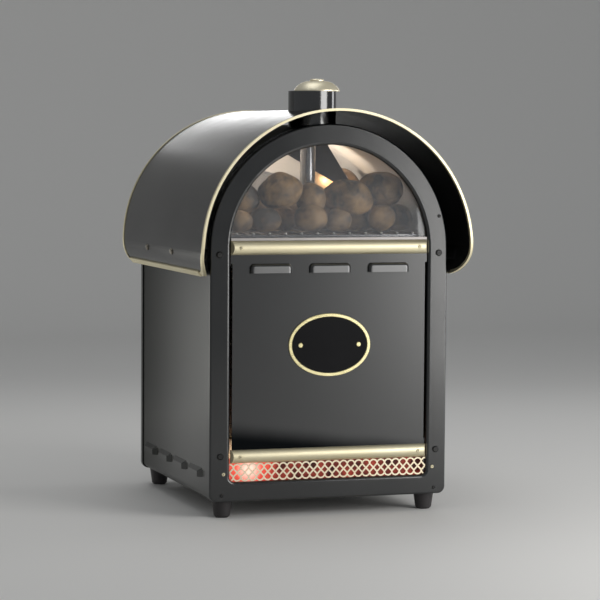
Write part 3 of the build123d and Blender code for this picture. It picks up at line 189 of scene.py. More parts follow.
def new_group(name, numbers, outputs):
    """A node group with number inputs (name, value) and outputs (name, socket type)."""
    group = bpy.data.node_groups.new(name, "ShaderNodeTree")
    for label, value in numbers:
        socket = group.interface.new_socket(label, in_out="INPUT", socket_type="NodeSocketFloat")
        socket.default_value = value
    for label, kind in outputs:
        group.interface.new_socket(label, in_out="OUTPUT", socket_type=kind)
    return group, group.nodes.new("NodeGroupInput"), group.nodes.new("NodeGroupOutput")


def noise_texture(tree, place, scale, detail=3.0, roughness=0.5):
    texture = tree.nodes.new("ShaderNodeTexNoise")
    texture.inputs["Detail"].default_value = detail
    texture.inputs["Roughness"].default_value = roughness
    if isinstance(scale, (int, float)):
        texture.inputs["Scale"].default_value = scale
    else:
        tree.links.new(scale, texture.inputs["Scale"])
    tree.links.new(place, texture.inputs["Vector"])
    return texture.outputs["Fac"]


def spread(tree, value, low, high):
    """Map a noise's useful middle, 0.3 to 0.7, onto low to high; both may be sockets."""
    stretch = tree.nodes.new("ShaderNodeMapRange")
    tree.links.new(value, stretch.inputs["Value"])
    for label, number in (("From Min", 0.3), ("From Max", 0.7), ("To Min", low), ("To Max", high)):
        if isinstance(number, (int, float)):
            stretch.inputs[label].default_value = number
        else:
            tree.links.new(number, stretch.inputs[label])
    return stretch.outputs["Result"]


PEEL_SCALE = 900.0
PEEL_HEIGHT = 0.0004
GLOSS_PATCH_SCALE = 7.0
HAZE_PATCH_SCALE = 3.0
enamel_skin, skin_in, skin_out = new_group(
    "enamel_skin",
    [("Peel Depth", 0.12), ("Gloss Low", 0.3), ("Gloss High", 0.45)],
    [
        ("Normal", "NodeSocketVector"),
        ("Roughness", "NodeSocketFloat"),
        ("Haze", "NodeSocketFloat"),
    ],
)
place = enamel_skin.nodes.new("ShaderNodeTexCoord").outputs["Object"]
peel = noise_texture(enamel_skin, place, PEEL_SCALE, 2.0)
bump = enamel_skin.nodes.new("ShaderNodeBump")
bump.inputs["Distance"].default_value = PEEL_HEIGHT
enamel_skin.links.new(skin_in.outputs["Peel Depth"], bump.inputs["Strength"])
enamel_skin.links.new(peel, bump.inputs["Height"])
enamel_skin.links.new(bump.outputs["Normal"], skin_out.inputs["Normal"])
gloss_patches = noise_texture(enamel_skin, place, GLOSS_PATCH_SCALE, 4.0)
gloss_range = skin_in.outputs["Gloss Low"], skin_in.outputs["Gloss High"]
enamel_skin.links.new(
    spread(enamel_skin, gloss_patches, *gloss_range), skin_out.inputs["Roughness"]
)
haze_patches = noise_texture(enamel_skin, place, HAZE_PATCH_SCALE, 6.0, 0.6)
enamel_skin.links.new(spread(enamel_skin, haze_patches, 0.0, 1.0), skin_out.inputs["Haze"])


def enamel(name, deep, hazed, gloss=(0.30, 0.45), peel_depth=0.12, ior=1.5):
    """Stoved enamel between a deep colour and a hazed one."""
    material, output = new_material(name)
    tree = material.node_tree
    skin = tree.nodes.new("ShaderNodeGroup")
    skin.node_tree = enamel_skin
    skin.inputs["Peel Depth"].default_value = peel_depth
    skin.inputs["Gloss Low"].default_value = gloss[0]
    skin.inputs["Gloss High"].default_value = gloss[1]
    blend = tree.nodes.new("ShaderNodeMix")
    blend.data_type = "RGBA"
    blend.inputs["A"].default_value = (*deep, 1.0)
    blend.inputs["B"].default_value = (*hazed, 1.0)
    body = shader(material, IOR=ior)
    wire(material, skin.outputs["Haze"], blend.inputs["Factor"])
    wire(material, blend.outputs["Result"], body.inputs["Base Color"])
    wire(material, skin.outputs["Roughness"], body.inputs["Roughness"])
    wire(material, skin.outputs["Normal"], body.inputs["Normal"])
    wire(material, body.outputs[0], output.inputs[0])
    return material


COAT_IOR = 1.78
WANDER_SCALE = 11.0
ROUGHNESS_RANGE = 0.06


def painted_sheen_enamel(name, deep, hazed, gloss, axis, dull_at, bright_at, dull, wander=0.0, tilt=0.0):
    """Enamel whose shine is a coat that fades along an axis, between two places in metres: a
    painted sheen, brighter at one end as if lit more there.

    dull is the coat's weight at dull_at, wander the fade's unevenness, tilt its slant along x.
    """
    material = enamel(name, deep, hazed, (gloss, gloss + ROUGHNESS_RANGE))
    tree = material.node_tree
    body = tree.nodes["Principled BSDF"]
    body.inputs["Specular IOR Level"].default_value = 0.0
    body.inputs["Coat IOR"].default_value = COAT_IOR
    body.inputs["Coat Roughness"].default_value = gloss
    place = tree.nodes.new("ShaderNodeTexCoord").outputs["Object"]
    along = tree.nodes.new("ShaderNodeSeparateXYZ")
    wire(material, place, along.inputs[0])
    shift = tree.nodes.new("ShaderNodeMath")
    slant = tree.nodes.new("ShaderNodeMath")
    slant.operation = "MULTIPLY_ADD"
    slant.inputs[1].default_value = tilt
    wire(material, along.outputs["X"], slant.inputs[0])
    wire(material, along.outputs[axis], slant.inputs[2])
    wire(material, slant.outputs[0], shift.inputs[0])
    unevenness = noise_texture(tree, place, WANDER_SCALE, 3.0)
    wire(material, spread(tree, unevenness, -wander, wander), shift.inputs[1])
    fade = tree.nodes.new("ShaderNodeMapRange")
    fade.interpolation_type = "SMOOTHSTEP"
    ends = (("From Min", dull_at), ("From Max", bright_at), ("To Min", dull), ("To Max", 1.0))
    for label, value in ends:
        fade.inputs[label].default_value = value
    wire(material, shift.outputs[0], fade.inputs["Value"])
    wire(material, fade.outputs["Result"], body.inputs["Coat Weight"])
    return material


def dress(material, *names):
    """Give CAD nodes a material."""
    for name in names:
        nodes[name].data.materials.clear()
        nodes[name].data.materials.append(material)


black_enamel = enamel(
    "black_enamel", (0.004, 0.005, 0.006), (0.007, 0.008, 0.009), (0.18, 0.25), ior=1.72
)
panel_enamel = enamel(
    "panel_enamel", (0.008, 0.009, 0.010), (0.012, 0.013, 0.014), (0.26, 0.32), ior=1.78
)
# The front panel's coat fades to nothing just above the lower strip, less so to the right: painted
# shade, a dark band along the panel's foot standing in for a dark reflection.
STRIP_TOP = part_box("lower_strip")[1].z
painted_shade_enamel = painted_sheen_enamel(
    "painted_shade_enamel",
    (0.004, 0.005, 0.006),
    (0.007, 0.008, 0.009),
    0.28,
    "Z",
    dull_at=STRIP_TOP - 0.004,
    bright_at=STRIP_TOP + 0.030,
    dull=0.0,
    wander=0.002,
    tilt=0.12,
)
# The louvre hoods' faces take a copy of the panel enamel that reflects more strongly: a painted
# highlight that makes them brighter than the flat panel.
hood_highlight_enamel = enamel(
    "hood_highlight_enamel", (0.008, 0.009, 0.010), (0.012, 0.013, 0.014), (0.40, 0.44), ior=2.4
)
chimney_enamel = enamel(
    "chimney_enamel", (0.001, 0.001, 0.0015), (0.002, 0.002, 0.003), (0.11, 0.13), ior=2.0
)
shield_enamel = enamel("shield_enamel", (0.03, 0.033, 0.038), (0.04, 0.043, 0.048), (0.3, 0.45))
# The side panels' coat fades towards the rear: painted sheen, with reflections brighter towards
# the front as the lamps fall on it.
side_enamel = painted_sheen_enamel(
    "side_enamel",
    (0.007, 0.008, 0.006),
    (0.010, 0.011, 0.008),
    0.22,
    "Y",
    dull_at=0.24,
    bright_at=-0.12,
    dull=0.4,
)
canopy_enamel = enamel("canopy_enamel", (0.005, 0.005, 0.005), (0.009, 0.009, 0.009), (0.18, 0.24))
inner_enamel = enamel("inner_enamel", (0.008, 0.008, 0.008), (0.014, 0.014, 0.014), (0.3, 0.45))
dress(black_enamel, "front_frame", "rear_frame", "flap_frame", "canopy_rails")
dress(panel_enamel, "door_skin")
dress(painted_shade_enamel, "front_panel")
dress(chimney_enamel, "chimney")
dress(side_enamel, "side_panel_left", "side_panel_right")
dress(canopy_enamel, "canopy")
dress(inner_enamel, "roof_barrel", "base_pan")
dress(shield_enamel, "lamp_shield")


# ---- Front panel --------------------------------------------------------------------------------
# The panel with its pressed louvres as smoothly rounded as the press leaves them: a grid that is
# fine across the louvres, raised into three hoods and open below each. Sizes in millimetres.

SHEET = 1.2
LOUVRE_HALF = 35.0
LOUVRE_FOOT = 390.0
LOUVRE_TOP = 405.0
LOUVRE_RISE = 5.9
LOUVRE_CURVE = 6.5
LOUVRE_CORNER = 7.5
LOUVRE_PITCH = 99.0
LOUVRE_PLACES = (-LOUVRE_PITCH, 0.0, LOUVRE_PITCH)
COLUMN_STEP = 0.7
ROW_STEP = 0.6
FLAT_OF_HOOD = 0.93
SHARP_ANGLE = math.radians(35)
PANEL_HALF = 162.5
TAB_FOOT = 405.1


def hood(x, z):
    """How far the louvres stand out of the panel at a place in it, in mm."""
    middle = LOUVRE_PITCH * max(-1, min(1, round(x / LOUVRE_PITCH)))
    from_side = LOUVRE_HALF - abs(x - middle)
    from_top = LOUVRE_TOP - z
    inside = min(from_side, from_top)
    if max(from_side, from_top) < LOUVRE_CORNER:
        inside = LOUVRE_CORNER - math.hypot(LOUVRE_CORNER - from_side, LOUVRE_CORNER - from_top)
    if inside <= 0.0:
        return 0.0
    return LOUVRE_RISE * math.sqrt(1.0 - (1.0 - min(1.0, inside / LOUVRE_CURVE)) ** 2)


low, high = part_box("front_panel")
tab_half = high.x / MM
columns = {-tab_half, -PANEL_HALF, PANEL_HALF, tab_half}
lower_columns = set(columns)
for middle in LOUVRE_PLACES:
    lower_columns.update((middle - LOUVRE_HALF, middle + LOUVRE_HALF))
    columns.update(middle + COLUMN_STEP * step - LOUVRE_HALF for step in range(101))
upper_rows = [LOUVRE_FOOT + ROW_STEP * step for step in range(26)] + [TAB_FOOT, high.z / MM]
form = bmesh.new()
for columns, rows, raised in (
    (sorted(lower_columns), [low.z / MM, LOUVRE_FOOT], False),
    (sorted(columns), upper_rows, True),
):
    grid = {}
    for x in columns:
        for z in rows:
            out = hood(x, z) if raised else 0.0
            grid[x, z] = form.verts.new((x * MM, high.y - (SHEET + out) * MM, z * MM))
    for left, right_side in zip(columns, columns[1:]):
        for foot, head in zip(rows, rows[1:]):
            if foot < TAB_FOOT and (right_side <= -PANEL_HALF or left >= PANEL_HALF):
                continue
            corners = ((left, foot), (right_side, foot), (right_side, head), (left, head))
            face = form.faces.new([grid[corner] for corner in corners])
            lowest = min(hood(*corner) for corner in corners)
            # Faces on the hoods' tops take the second material, their painted highlight.
            face.material_index = 1 if raised and lowest > FLAT_OF_HOOD * LOUVRE_RISE else 0
bmesh.ops.remove_doubles(form, verts=form.verts, dist=1e-6)
bmesh.ops.delete(form, geom=[v for v in form.verts if not v.link_faces], context="VERTS")
bmesh.ops.solidify(form, geom=form.faces[:], thickness=SHEET * MM)
bmesh.ops.recalc_face_normals(form, faces=form.faces)
for edge in form.edges:
    edge.smooth = edge.calc_face_angle(0.0) < SHARP_ANGLE
pressed_panel = mesh_object("pressed_panel", form, painted_shade_enamel)
pressed_panel.data.materials.append(hood_highlight_enamel)
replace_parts(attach(pressed_panel, "oven_body"), "front_panel")


# ---- Brass ------------------------------------------------------------------------------------
# Trims, strips, cap and fret are pale polished brass with fine polishing lines and a few warmer,
# faintly tarnished patches.

GRAIN_HEIGHT = 0.0003
TARNISH_SCALE = 14.0
metal_grain, grain_in, grain_out = new_group(
    "metal_grain",
    [("Across", 900.0), ("Along", 12.0), ("Depth", 0.15)],
    [
        ("Normal", "NodeSocketVector"),
        ("Streaks", "NodeSocketFloat"),
        ("Patches", "NodeSocketFloat"),
    ],
)
place = metal_grain.nodes.new("ShaderNodeTexCoord").outputs["Object"]
stretch = metal_grain.nodes.new("ShaderNodeCombineXYZ")
metal_grain.links.new(grain_in.outputs["Along"], stretch.inputs["X"])
metal_grain.links.new(grain_in.outputs["Across"], stretch.inputs["Y"])
metal_grain.links.new(grain_in.outputs["Across"], stretch.inputs["Z"])
multiply = metal_grain.nodes.new("ShaderNodeVectorMath")
multiply.operation = "MULTIPLY"
metal_grain.links.new(place, multiply.inputs[0])
metal_grain.links.new(stretch.outputs[0], multiply.inputs[1])
streaks = noise_texture(metal_grain, multiply.outputs[0], 1.0, 2.0)
bump = metal_grain.nodes.new("ShaderNodeBump")
bump.inputs["Distance"].default_value = GRAIN_HEIGHT
metal_grain.links.new(grain_in.outputs["Depth"], bump.inputs["Strength"])
metal_grain.links.new(streaks, bump.inputs["Height"])
metal_grain.links.new(bump.outputs["Normal"], grain_out.inputs["Normal"])
metal_grain.links.new(spread(metal_grain, streaks, 0.0, 1.0), grain_out.inputs["Streaks"])
patches = noise_texture(metal_grain, place, TARNISH_SCALE, 5.0, 0.6)
metal_grain.links.new(spread(metal_grain, patches, 0.0, 1.0), grain_out.inputs["Patches"])


def bare_metal(name, bright, dull, gloss=(0.2, 0.32), grain=(12.0, 900.0), depth=0.15, metal=1.0):
    """Bare metal from a bright colour to a duller one; grain is its lines along x and across."""
    material, output = new_material(name)
    tree = material.node_tree
    lines = tree.nodes.new("ShaderNodeGroup")
    lines.node_tree = metal_grain
    lines.inputs["Along"].default_value = grain[0]
    lines.inputs["Across"].default_value = grain[1]
    lines.inputs["Depth"].default_value = depth
    blend = tree.nodes.new("ShaderNodeMix")
    blend.data_type = "RGBA"
    blend.inputs["A"].default_value = (*bright, 1.0)
    blend.inputs["B"].default_value = (*dull, 1.0)
    roughness = tree.nodes.new("ShaderNodeMapRange")
    roughness.inputs["To Min"].default_value = gloss[0]
    roughness.inputs["To Max"].default_value = gloss[1]
    body = shader(material, Metallic=metal)
    wire(material, lines.outputs["Patches"], blend.inputs["Factor"])
    wire(material, lines.outputs["Streaks"], roughness.inputs["Value"])
    wire(material, blend.outputs["Result"], body.inputs["Base Color"])
    wire(material, roughness.outputs["Result"], body.inputs["Roughness"])
    wire(material, lines.outputs["Normal"], body.inputs["Normal"])
    wire(material, body.outputs[0], output.inputs[0])
    return material


brass = bare_metal(
    "pale_brass", (0.90, 0.83, 0.60), (0.86, 0.77, 0.52), (0.42, 0.52), depth=0.06, metal=0.85
)
fret_brass = bare_metal(
    "fret_brass", (0.95, 0.86, 0.66), (0.88, 0.76, 0.54), (0.35, 0.45), metal=0.85
)
gilt = bare_metal("gilt", (0.95, 0.86, 0.50), (0.88, 0.78, 0.42), (0.25, 0.4))
cap_brass = bare_metal("cap_brass", (1.0, 0.94, 0.76), (0.95, 0.86, 0.62), (0.36, 0.46), metal=0.8)
dress(cap_brass, "chimney_cap")
dress(brass, "canopy_edge_trims", "canopy_edge_strips", "upper_strip", "lower_strip")
dress(brass, "brass_screws")
dress(fret_brass, "grille")
dress(gilt, "badge_rim", "badge_rivets")

# ---- Steel ------------------------------------------------------------------------------------
# The tube and rack, stainless liners, the dull ledge, zinc-plated brackets and hinges, and the
# blackened or worn screws. The vault's lining is near white, and has a section of its own.

tube_steel = bare_metal("tube_steel", (0.42, 0.42, 0.43), (0.34, 0.34, 0.35), (0.16, 0.24))
stainless = bare_metal("stainless", (0.72, 0.72, 0.72), (0.62, 0.62, 0.61), (0.24, 0.36))
dull_steel = bare_metal("dull_steel", (0.40, 0.38, 0.37), (0.32, 0.30, 0.29), (0.45, 0.55))
bright_liner = bare_metal(
    "bright_liner", (0.78, 0.75, 0.71), (0.70, 0.67, 0.63), (0.5, 0.6), metal=0.1
)
deck_steel = bare_metal("deck_steel", (0.30, 0.28, 0.27), (0.22, 0.21, 0.20), (0.4, 0.5))
chrome_wire = bare_metal("chrome_wire", (0.88, 0.88, 0.87), (0.80, 0.78, 0.75), (0.22, 0.34))
zinc = bare_metal("zinc", (0.55, 0.56, 0.57), (0.44, 0.45, 0.45), (0.35, 0.5), (60.0, 60.0))
blackened = bare_metal(
    "blackened_steel", (0.07, 0.07, 0.07), (0.04, 0.04, 0.04), (0.3, 0.45), (200.0, 200.0)
)
element_steel = bare_metal(
    "element_steel", (0.20, 0.17, 0.15), (0.12, 0.10, 0.09), (0.4, 0.6), (90.0, 90.0)
)
dress(tube_steel, "steam_tube")
dress(deck_steel, "display_deck")
dress(stainless, "oven_liner", "shelf_runners", "fan_guard", "door_inner", "control_plate")
dress(dull_steel, "glass_ledge")
dress(chrome_wire, "wire_shelves", "door_handle")
dress(tube_steel, "display_rack")
dress(zinc, "glow_tray", "fan_impeller")
dress(zinc, "door_hinge_leaves", "door_hinge_knuckles", "flap_brackets")
dress(blackened, "frame_screws")
screw_steel = bare_metal(
    "screw_steel", (0.34, 0.31, 0.26), (0.26, 0.23, 0.19), (0.22, 0.3), (60.0, 60.0)
)
dress(screw_steel, "canopy_screws")
dress(element_steel, "heating_element")

# ---- Vault lining -------------------------------------------------------------------------------
# The lining's colour is darker low down. Its far end is closed round the flap's opening by a
# narrow arched flange of the same sheet.

dress(bright_liner, "display_liner")
tree = bright_liner.node_tree
height = tree.nodes.new("ShaderNodeSeparateXYZ")
wire(bright_liner, tree.nodes.new("ShaderNodeTexCoord").outputs["Object"], height.inputs[0])
low_darkening = tree.nodes.new("ShaderNodeMapRange")
ends = (("From Min", 0.475), ("From Max", 0.545), ("To Min", 0.10), ("To Max", 1.0))
for label, value in ends:
    low_darkening.inputs[label].default_value = value
wire(bright_liner, height.outputs["Z"], low_darkening.inputs["Value"])
darkened_low = tree.nodes.new("ShaderNodeMix")
darkened_low.data_type = "RGBA"
darkened_low.inputs["A"].default_value = (0.05, 0.045, 0.042, 1.0)
body = tree.nodes["Principled BSDF"]
body.inputs["Specular IOR Level"].default_value = 0.2
wire(bright_liner, low_darkening.outputs["Result"], darkened_low.inputs["Factor"])
wire(bright_liner, body.inputs["Base Color"].links[0].from_socket, darkened_low.inputs["B"])
wire(bright_liner, darkened_low.outputs["Result"], body.inputs["Base Color"])

FLANGE_OUTER = 161.0
FLANGE_INNER = 120.0
FLANGE_SHEET = 0.6
FLANGE_SETBACK = 0.8
VAULT_CENTRE = 427.0
ARCH_STEPS = 64
low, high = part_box("display_liner")
form = bmesh.new()
rings = {}
for step in range(ARCH_STEPS + 1):
    angle = math.pi * step / ARCH_STEPS
    for reach in (FLANGE_INNER, FLANGE_OUTER):
        for back in (0.0, FLANGE_SHEET):
            place_in_arch = (
                reach * math.cos(angle) * MM,
                high.y - (FLANGE_SETBACK - back) * MM,
                (VAULT_CENTRE + reach * math.sin(angle)) * MM,
            )
            rings[step, reach, back] = form.verts.new(place_in_arch)
corners = (
    (FLANGE_INNER, 0.0),
    (FLANGE_OUTER, 0.0),
    (FLANGE_OUTER, FLANGE_SHEET),
    (FLANGE_INNER, FLANGE_SHEET),
)
for step in range(ARCH_STEPS):
    here = [rings[step, *corner] for corner in corners]
    beyond = [rings[step + 1, *corner] for corner in corners]
    for one in range(len(corners)):
        two = (one + 1) % len(corners)
        form.faces.new((here[one], here[two], beyond[two], beyond[one]))
for step in (0, ARCH_STEPS):
    form.faces.new([rings[step, *corner] for corner in corners])
bmesh.ops.recalc_face_normals(form, faces=form.faces)
end_flange = mesh_object("liner_end_flange", form, bright_liner, smooth=False)
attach(end_flange, "oven_body")

# ---- Rack beads ---------------------------------------------------------------------------------
# The display rack's wires end at the front in small bright beads. Sizes in millimetres.

WIRES = 12
WIRE_PITCH = 27.083
BEAD_RADIUS = 2.3
BEAD_SETBACK = 1.6
BEAD_DROP = 0.6
low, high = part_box("display_rack")
form = bmesh.new()
for wire_number in range(WIRES):
    x = WIRE_PITCH * (wire_number - (WIRES - 1) / 2)
    spot = Matrix.Translation((x * MM, low.y + BEAD_SETBACK * MM, high.z - BEAD_DROP * MM))
    bmesh.ops.create_uvsphere(
        form, u_segments=20, v_segments=12, radius=BEAD_RADIUS * MM, matrix=spot
    )
beads = mesh_object("rack_wire_beads", form, chrome_wire)
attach(beads, "oven_body")

# ---- Moulded pieces ---------------------------------------------------------------------------
# Rubber feet, nylon knobs and gland, rocker caps, lamp holders and the motor's painted case.


def moulded(name, colour, roughness, depth=0.1, **extra):
    """Moulded plastic or rubber with a fine grained skin."""
    material, output = new_material(name)
    tree = material.node_tree
    skin = tree.nodes.new("ShaderNodeGroup")
    skin.node_tree = enamel_skin
    skin.inputs["Peel Depth"].default_value = depth
    skin.inputs["Gloss Low"].default_value = roughness - 0.05
    skin.inputs["Gloss High"].default_value = roughness + 0.08
    tone = tree.nodes.new("ShaderNodeMix")
    tone.data_type = "RGBA"
    tone.inputs["A"].default_value = (*colour, 1.0)
    tone.inputs["B"].default_value = (*(min(1.0, c * 1.25 + 0.004) for c in colour), 1.0)
    body = shader(material, **extra)
    wire(material, skin.outputs["Haze"], tone.inputs["Factor"])
    wire(material, tone.outputs["Result"], body.inputs["Base Color"])
    wire(material, skin.outputs["Roughness"], body.inputs["Roughness"])
    wire(material, skin.outputs["Normal"], body.inputs["Normal"])
    wire(material, body.outputs[0], output.inputs[0])
    return material


foot_rubber = moulded("foot_rubber", (0.022, 0.019, 0.020), 0.55, 0.3)
black_nylon = moulded("black_nylon", (0.015, 0.015, 0.015), 0.32)
badge_black = moulded("badge_black", (0.003, 0.003, 0.004), 0.5, 0.05, Specular_IOR_Level=0.12)
porcelain = moulded("porcelain", (0.78, 0.75, 0.68), 0.35)
motor_paint = moulded("motor_paint", (0.05, 0.05, 0.055), 0.5)
silicone = moulded("silicone", (0.03, 0.03, 0.03), 0.6)
mineral_wool = moulded("mineral_wool", (0.62, 0.52, 0.26), 0.9, 1.0)
indicator_red = moulded("indicator_red", (0.55, 0.02, 0.01), 0.15)
dress(foot_rubber, "feet")
dress(black_nylon, "flap_knob", "thermostat_knob", "timer_knob", "cable_gland")
dress(black_nylon, "power_rocker", "light_rocker")
dress(badge_black, "badge_plate")
dress(porcelain, "lamp_holders")
dress(motor_paint, "fan_motor", "control_bodies")
dress(silicone, "door_seal")
dress(mineral_wool, "insulation")
dress(indicator_red, "indicator_lamp")

# ---- Fine marks --------------------------------------------------------------------------------
# Dark crosses on the screws that face the front, painted shade for their recessed cross slots,
# white pointer lines on the two knobs, and the printed scales round them on the control plate.

slot_shade_black = moulded("slot_shade_black", (0.004, 0.004, 0.004), 0.6)
print_white = moulded("print_white", (0.80, 0.80, 0.78), 0.5)
FRONT_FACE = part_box("front_frame")[0].y - 0.001
PRINT_LIFT = 0.02


def screw_faces(name):
    """The corners, in metres, of each flat screw head in a CAD node that faces the front."""
    form = bmesh.new()
    form.from_mesh(nodes[name].data)
    bmesh.ops.remove_doubles(form, verts=form.verts, dist=1e-6)
    heads = {}
    for face in form.faces:
        if face.normal.y < -0.999 and face.calc_center_median().y < FRONT_FACE:
            key = tuple(round(value, 2) for value in face.calc_center_median().xz)
            heads.setdefault(key, []).extend(vert.co.copy() for vert in face.verts)
    form.free()
    return list(heads.values())


def slab(form, low, high, turn=0.0, about=None):
    """A thin box between two corners in mm, turned about the y axis through a point."""
    size = [(b - a) * MM for a, b in zip(low, high)]
    centre = [(a + b) / 2 * MM for a, b in zip(low, high)]
    fresh = bmesh.ops.create_cube(form, size=1.0)["verts"]
    bmesh.ops.scale(form, vec=size, verts=fresh)
    bmesh.ops.translate(form, vec=centre, verts=fresh)
    if turn:
        pivot = [value * MM for value in about]
        bmesh.ops.rotate(form, cent=pivot, matrix=Matrix.Rotation(turn, 3, "Y"), verts=fresh)


KNOBS = (
    ("thermostat_knob", "thermostat", 10),
    ("timer_knob", "timer", 11),
)
TICK_STEP = math.radians(30)
plate_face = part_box("control_plate")[1].y / MM
scales = bmesh.new()
for knob, body_name, ticks in KNOBS:
    low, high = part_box(knob)
    x, z = (low.x + high.x) / 2 / MM, (low.z + high.z) / 2 / MM
    top = high.y / MM
    form = bmesh.new()
    slab(form, (x - 0.6, top + PRINT_LIFT, z + 7.0), (x + 0.6, top + 0.14, z + 16.0))
    pointer = mesh_object(f"{body_name}_pointer", form, print_white, smooth=False)
    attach(pointer, body_name)
    for tick in range(ticks):
        slab(
            scales,
            (x - 0.4, plate_face + PRINT_LIFT, z + 21.0),
            (x + 0.4, plate_face + 0.10, z + (25.0 if tick % 3 == 0 else 23.5)),
            -tick * TICK_STEP,
            (x, 0.0, z),
        )
printed = mesh_object("printed_scales", scales, print_white, smooth=False)
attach(printed, "oven_body")

SLOT_REACH = 0.37
SLOT_THIN = 0.22
# Each cross is two thin black slabs on a head: painted shade for the recess of its slot.
form = bmesh.new()
for name in ("frame_screws", "brass_screws"):
    for corners in screw_faces(name):
        xs, zs = [c.x / MM for c in corners], [c.z / MM for c in corners]
        x, z, face_y = (min(xs) + max(xs)) / 2, (min(zs) + max(zs)) / 2, corners[0].y / MM
        arm = SLOT_REACH * (max(xs) - min(xs))
        for across, tall in ((arm, SLOT_THIN * arm), (SLOT_THIN * arm, arm)):
            lift = PRINT_LIFT if across > tall else 0.04
            slab(
                form,
                (x - across, face_y - 0.12 - lift, z - tall),
                (x + across, face_y - lift, z + tall),
            )
crosses = mesh_object("screw_crosses", form, slot_shade_black, smooth=False)
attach(crosses, "oven_body")

# ---- Glass -------------------------------------------------------------------------------------
# The front window is toughened clear glass with a thin grey film, densest low down, that is partly
# steam and partly a painted reflection of grey. The rear flap's pane is fogged more evenly.

pane_glass, output = new_material("pane_glass")
tree = pane_glass.node_tree
clear = shader(pane_glass, Roughness=0.02, IOR=1.45, Transmission_Weight=1.0)
shade = shader(pane_glass, "ShaderNodeBsdfTransparent", Color=(0.93, 0.95, 0.95, 1.0))
film = shader(pane_glass, Base_Color=(0.44, 0.45, 0.48, 1.0), Roughness=0.7)
glance = tree.nodes.new("ShaderNodeLightPath")
through = tree.nodes.new("ShaderNodeMixShader")
mist_and_reflection_mix = tree.nodes.new("ShaderNodeMixShader")
place = tree.nodes.new("ShaderNodeTexCoord").outputs["Object"]
height = tree.nodes.new("ShaderNodeSeparateXYZ")
# The grey film is mixed in most low down: partly steam, and partly a painted reflection of grey on
# the pane.
low_mist_and_reflection = tree.nodes.new("ShaderNodeMapRange")
for label, value in (("From Min", 0.44), ("From Max", 0.60), ("To Min", 0.13), ("To Max", 0.03)):
    low_mist_and_reflection.inputs[label].default_value = value
mist_and_reflection_clouds = tree.nodes.new("ShaderNodeMath")
mist_and_reflection_clouds.operation = "MULTIPLY"
wire(pane_glass, place, height.inputs[0])
wire(pane_glass, height.outputs["Z"], low_mist_and_reflection.inputs["Value"])
wire(pane_glass, low_mist_and_reflection.outputs["Result"], mist_and_reflection_clouds.inputs[0])
clouds = spread(tree, noise_texture(tree, place, 9.0, 4.0), 0.7, 1.1)
wire(pane_glass, clouds, mist_and_reflection_clouds.inputs[1])
wire(pane_glass, glance.outputs["Is Shadow Ray"], through.inputs[0])
wire(pane_glass, clear.outputs[0], through.inputs[1])
wire(pane_glass, shade.outputs[0], through.inputs[2])
wire(pane_glass, mist_and_reflection_clouds.outputs[0], mist_and_reflection_mix.inputs[0])
wire(pane_glass, through.outputs[0], mist_and_reflection_mix.inputs[1])
wire(pane_glass, film.outputs[0], mist_and_reflection_mix.inputs[2])
wire(pane_glass, mist_and_reflection_mix.outputs[0], output.inputs[0])
dress(pane_glass, "window_glass")

steamed_glass, output = new_material("steamed_glass")
tree = steamed_glass.node_tree
clear = shader(steamed_glass, Roughness=0.1, IOR=1.45, Transmission_Weight=1.0)
steam = shader(steamed_glass, Base_Color=(0.74, 0.68, 0.61, 1.0), Roughness=0.6)
fogged = tree.nodes.new("ShaderNodeMixShader")
place = tree.nodes.new("ShaderNodeTexCoord").outputs["Object"]
clouds = spread(tree, noise_texture(tree, place, 7.0, 4.0), 0.12, 0.38)
wire(steamed_glass, clouds, fogged.inputs[0])
wire(steamed_glass, clear.outputs[0], fogged.inputs[1])
wire(steamed_glass, steam.outputs[0], fogged.inputs[2])
wire(steamed_glass, fogged.outputs[0], output.inputs[0])
dress(steamed_glass, "flap_glass")

# ---- Display lamp and glow ----------------------------------------------------------------------
# Warm lamps behind the shield light the food. The red translucent screen that makes the fret glow
# has its light painted on as emission, with a painted hot spot brightest on the left where its
# lamp would stand. Places in metres.

bulb, output = new_material("lit_bulb")
lit = shader(
    bulb,
    Base_Color=(1.0, 0.9, 0.75, 1.0),
    Roughness=0.2,
    Emission_Color=(1.0, 0.72, 0.42, 1.0),
    Emission_Strength=9.0,
)
wire(bulb, lit.outputs[0], output.inputs[0])
dress(bulb, "lamp_bulbs")

# Where the painted hot spot of the screen's glow is centred, and how far it reaches.
PAINTED_GLOW_X = -0.128
PAINTED_GLOW_Z = 0.075
GLOW_REACH = 0.053
glow_red, output = new_material("glow_red")
tree = glow_red.node_tree
place = tree.nodes.new("ShaderNodeTexCoord").outputs["Object"]
blotches = noise_texture(tree, place, 42.0, 4.0)
tint = tree.nodes.new("ShaderNodeValToRGB")
tint.color_ramp.elements[0].position = 0.38
tint.color_ramp.elements[0].color = (0.022, 0.004, 0.003, 1.0)
tint.color_ramp.elements[1].position = 0.70
tint.color_ramp.elements[1].color = (0.22, 0.030, 0.018, 1.0)
wire(glow_red, blotches, tint.inputs["Fac"])
painted_glow_distance = tree.nodes.new("ShaderNodeVectorMath")
painted_glow_distance.operation = "DISTANCE"
painted_glow_distance.inputs[1].default_value = (PAINTED_GLOW_X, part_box("glow_screen")[0].y, PAINTED_GLOW_Z)
wire(glow_red, place, painted_glow_distance.inputs[0])
nearness = tree.nodes.new("ShaderNodeMapRange")
nearness.inputs["From Min"].default_value = 0.0
nearness.inputs["From Max"].default_value = GLOW_REACH
wire(glow_red, painted_glow_distance.outputs["Value"], nearness.inputs["Value"])
painted_hot_spot = tree.nodes.new("ShaderNodeValToRGB")
painted_hot_spot.color_ramp.elements[0].position = 0.12
painted_hot_spot.color_ramp.elements[0].color = (0.95, 0.62, 0.50, 1.0)
painted_hot_spot.color_ramp.elements[1].position = 1.0
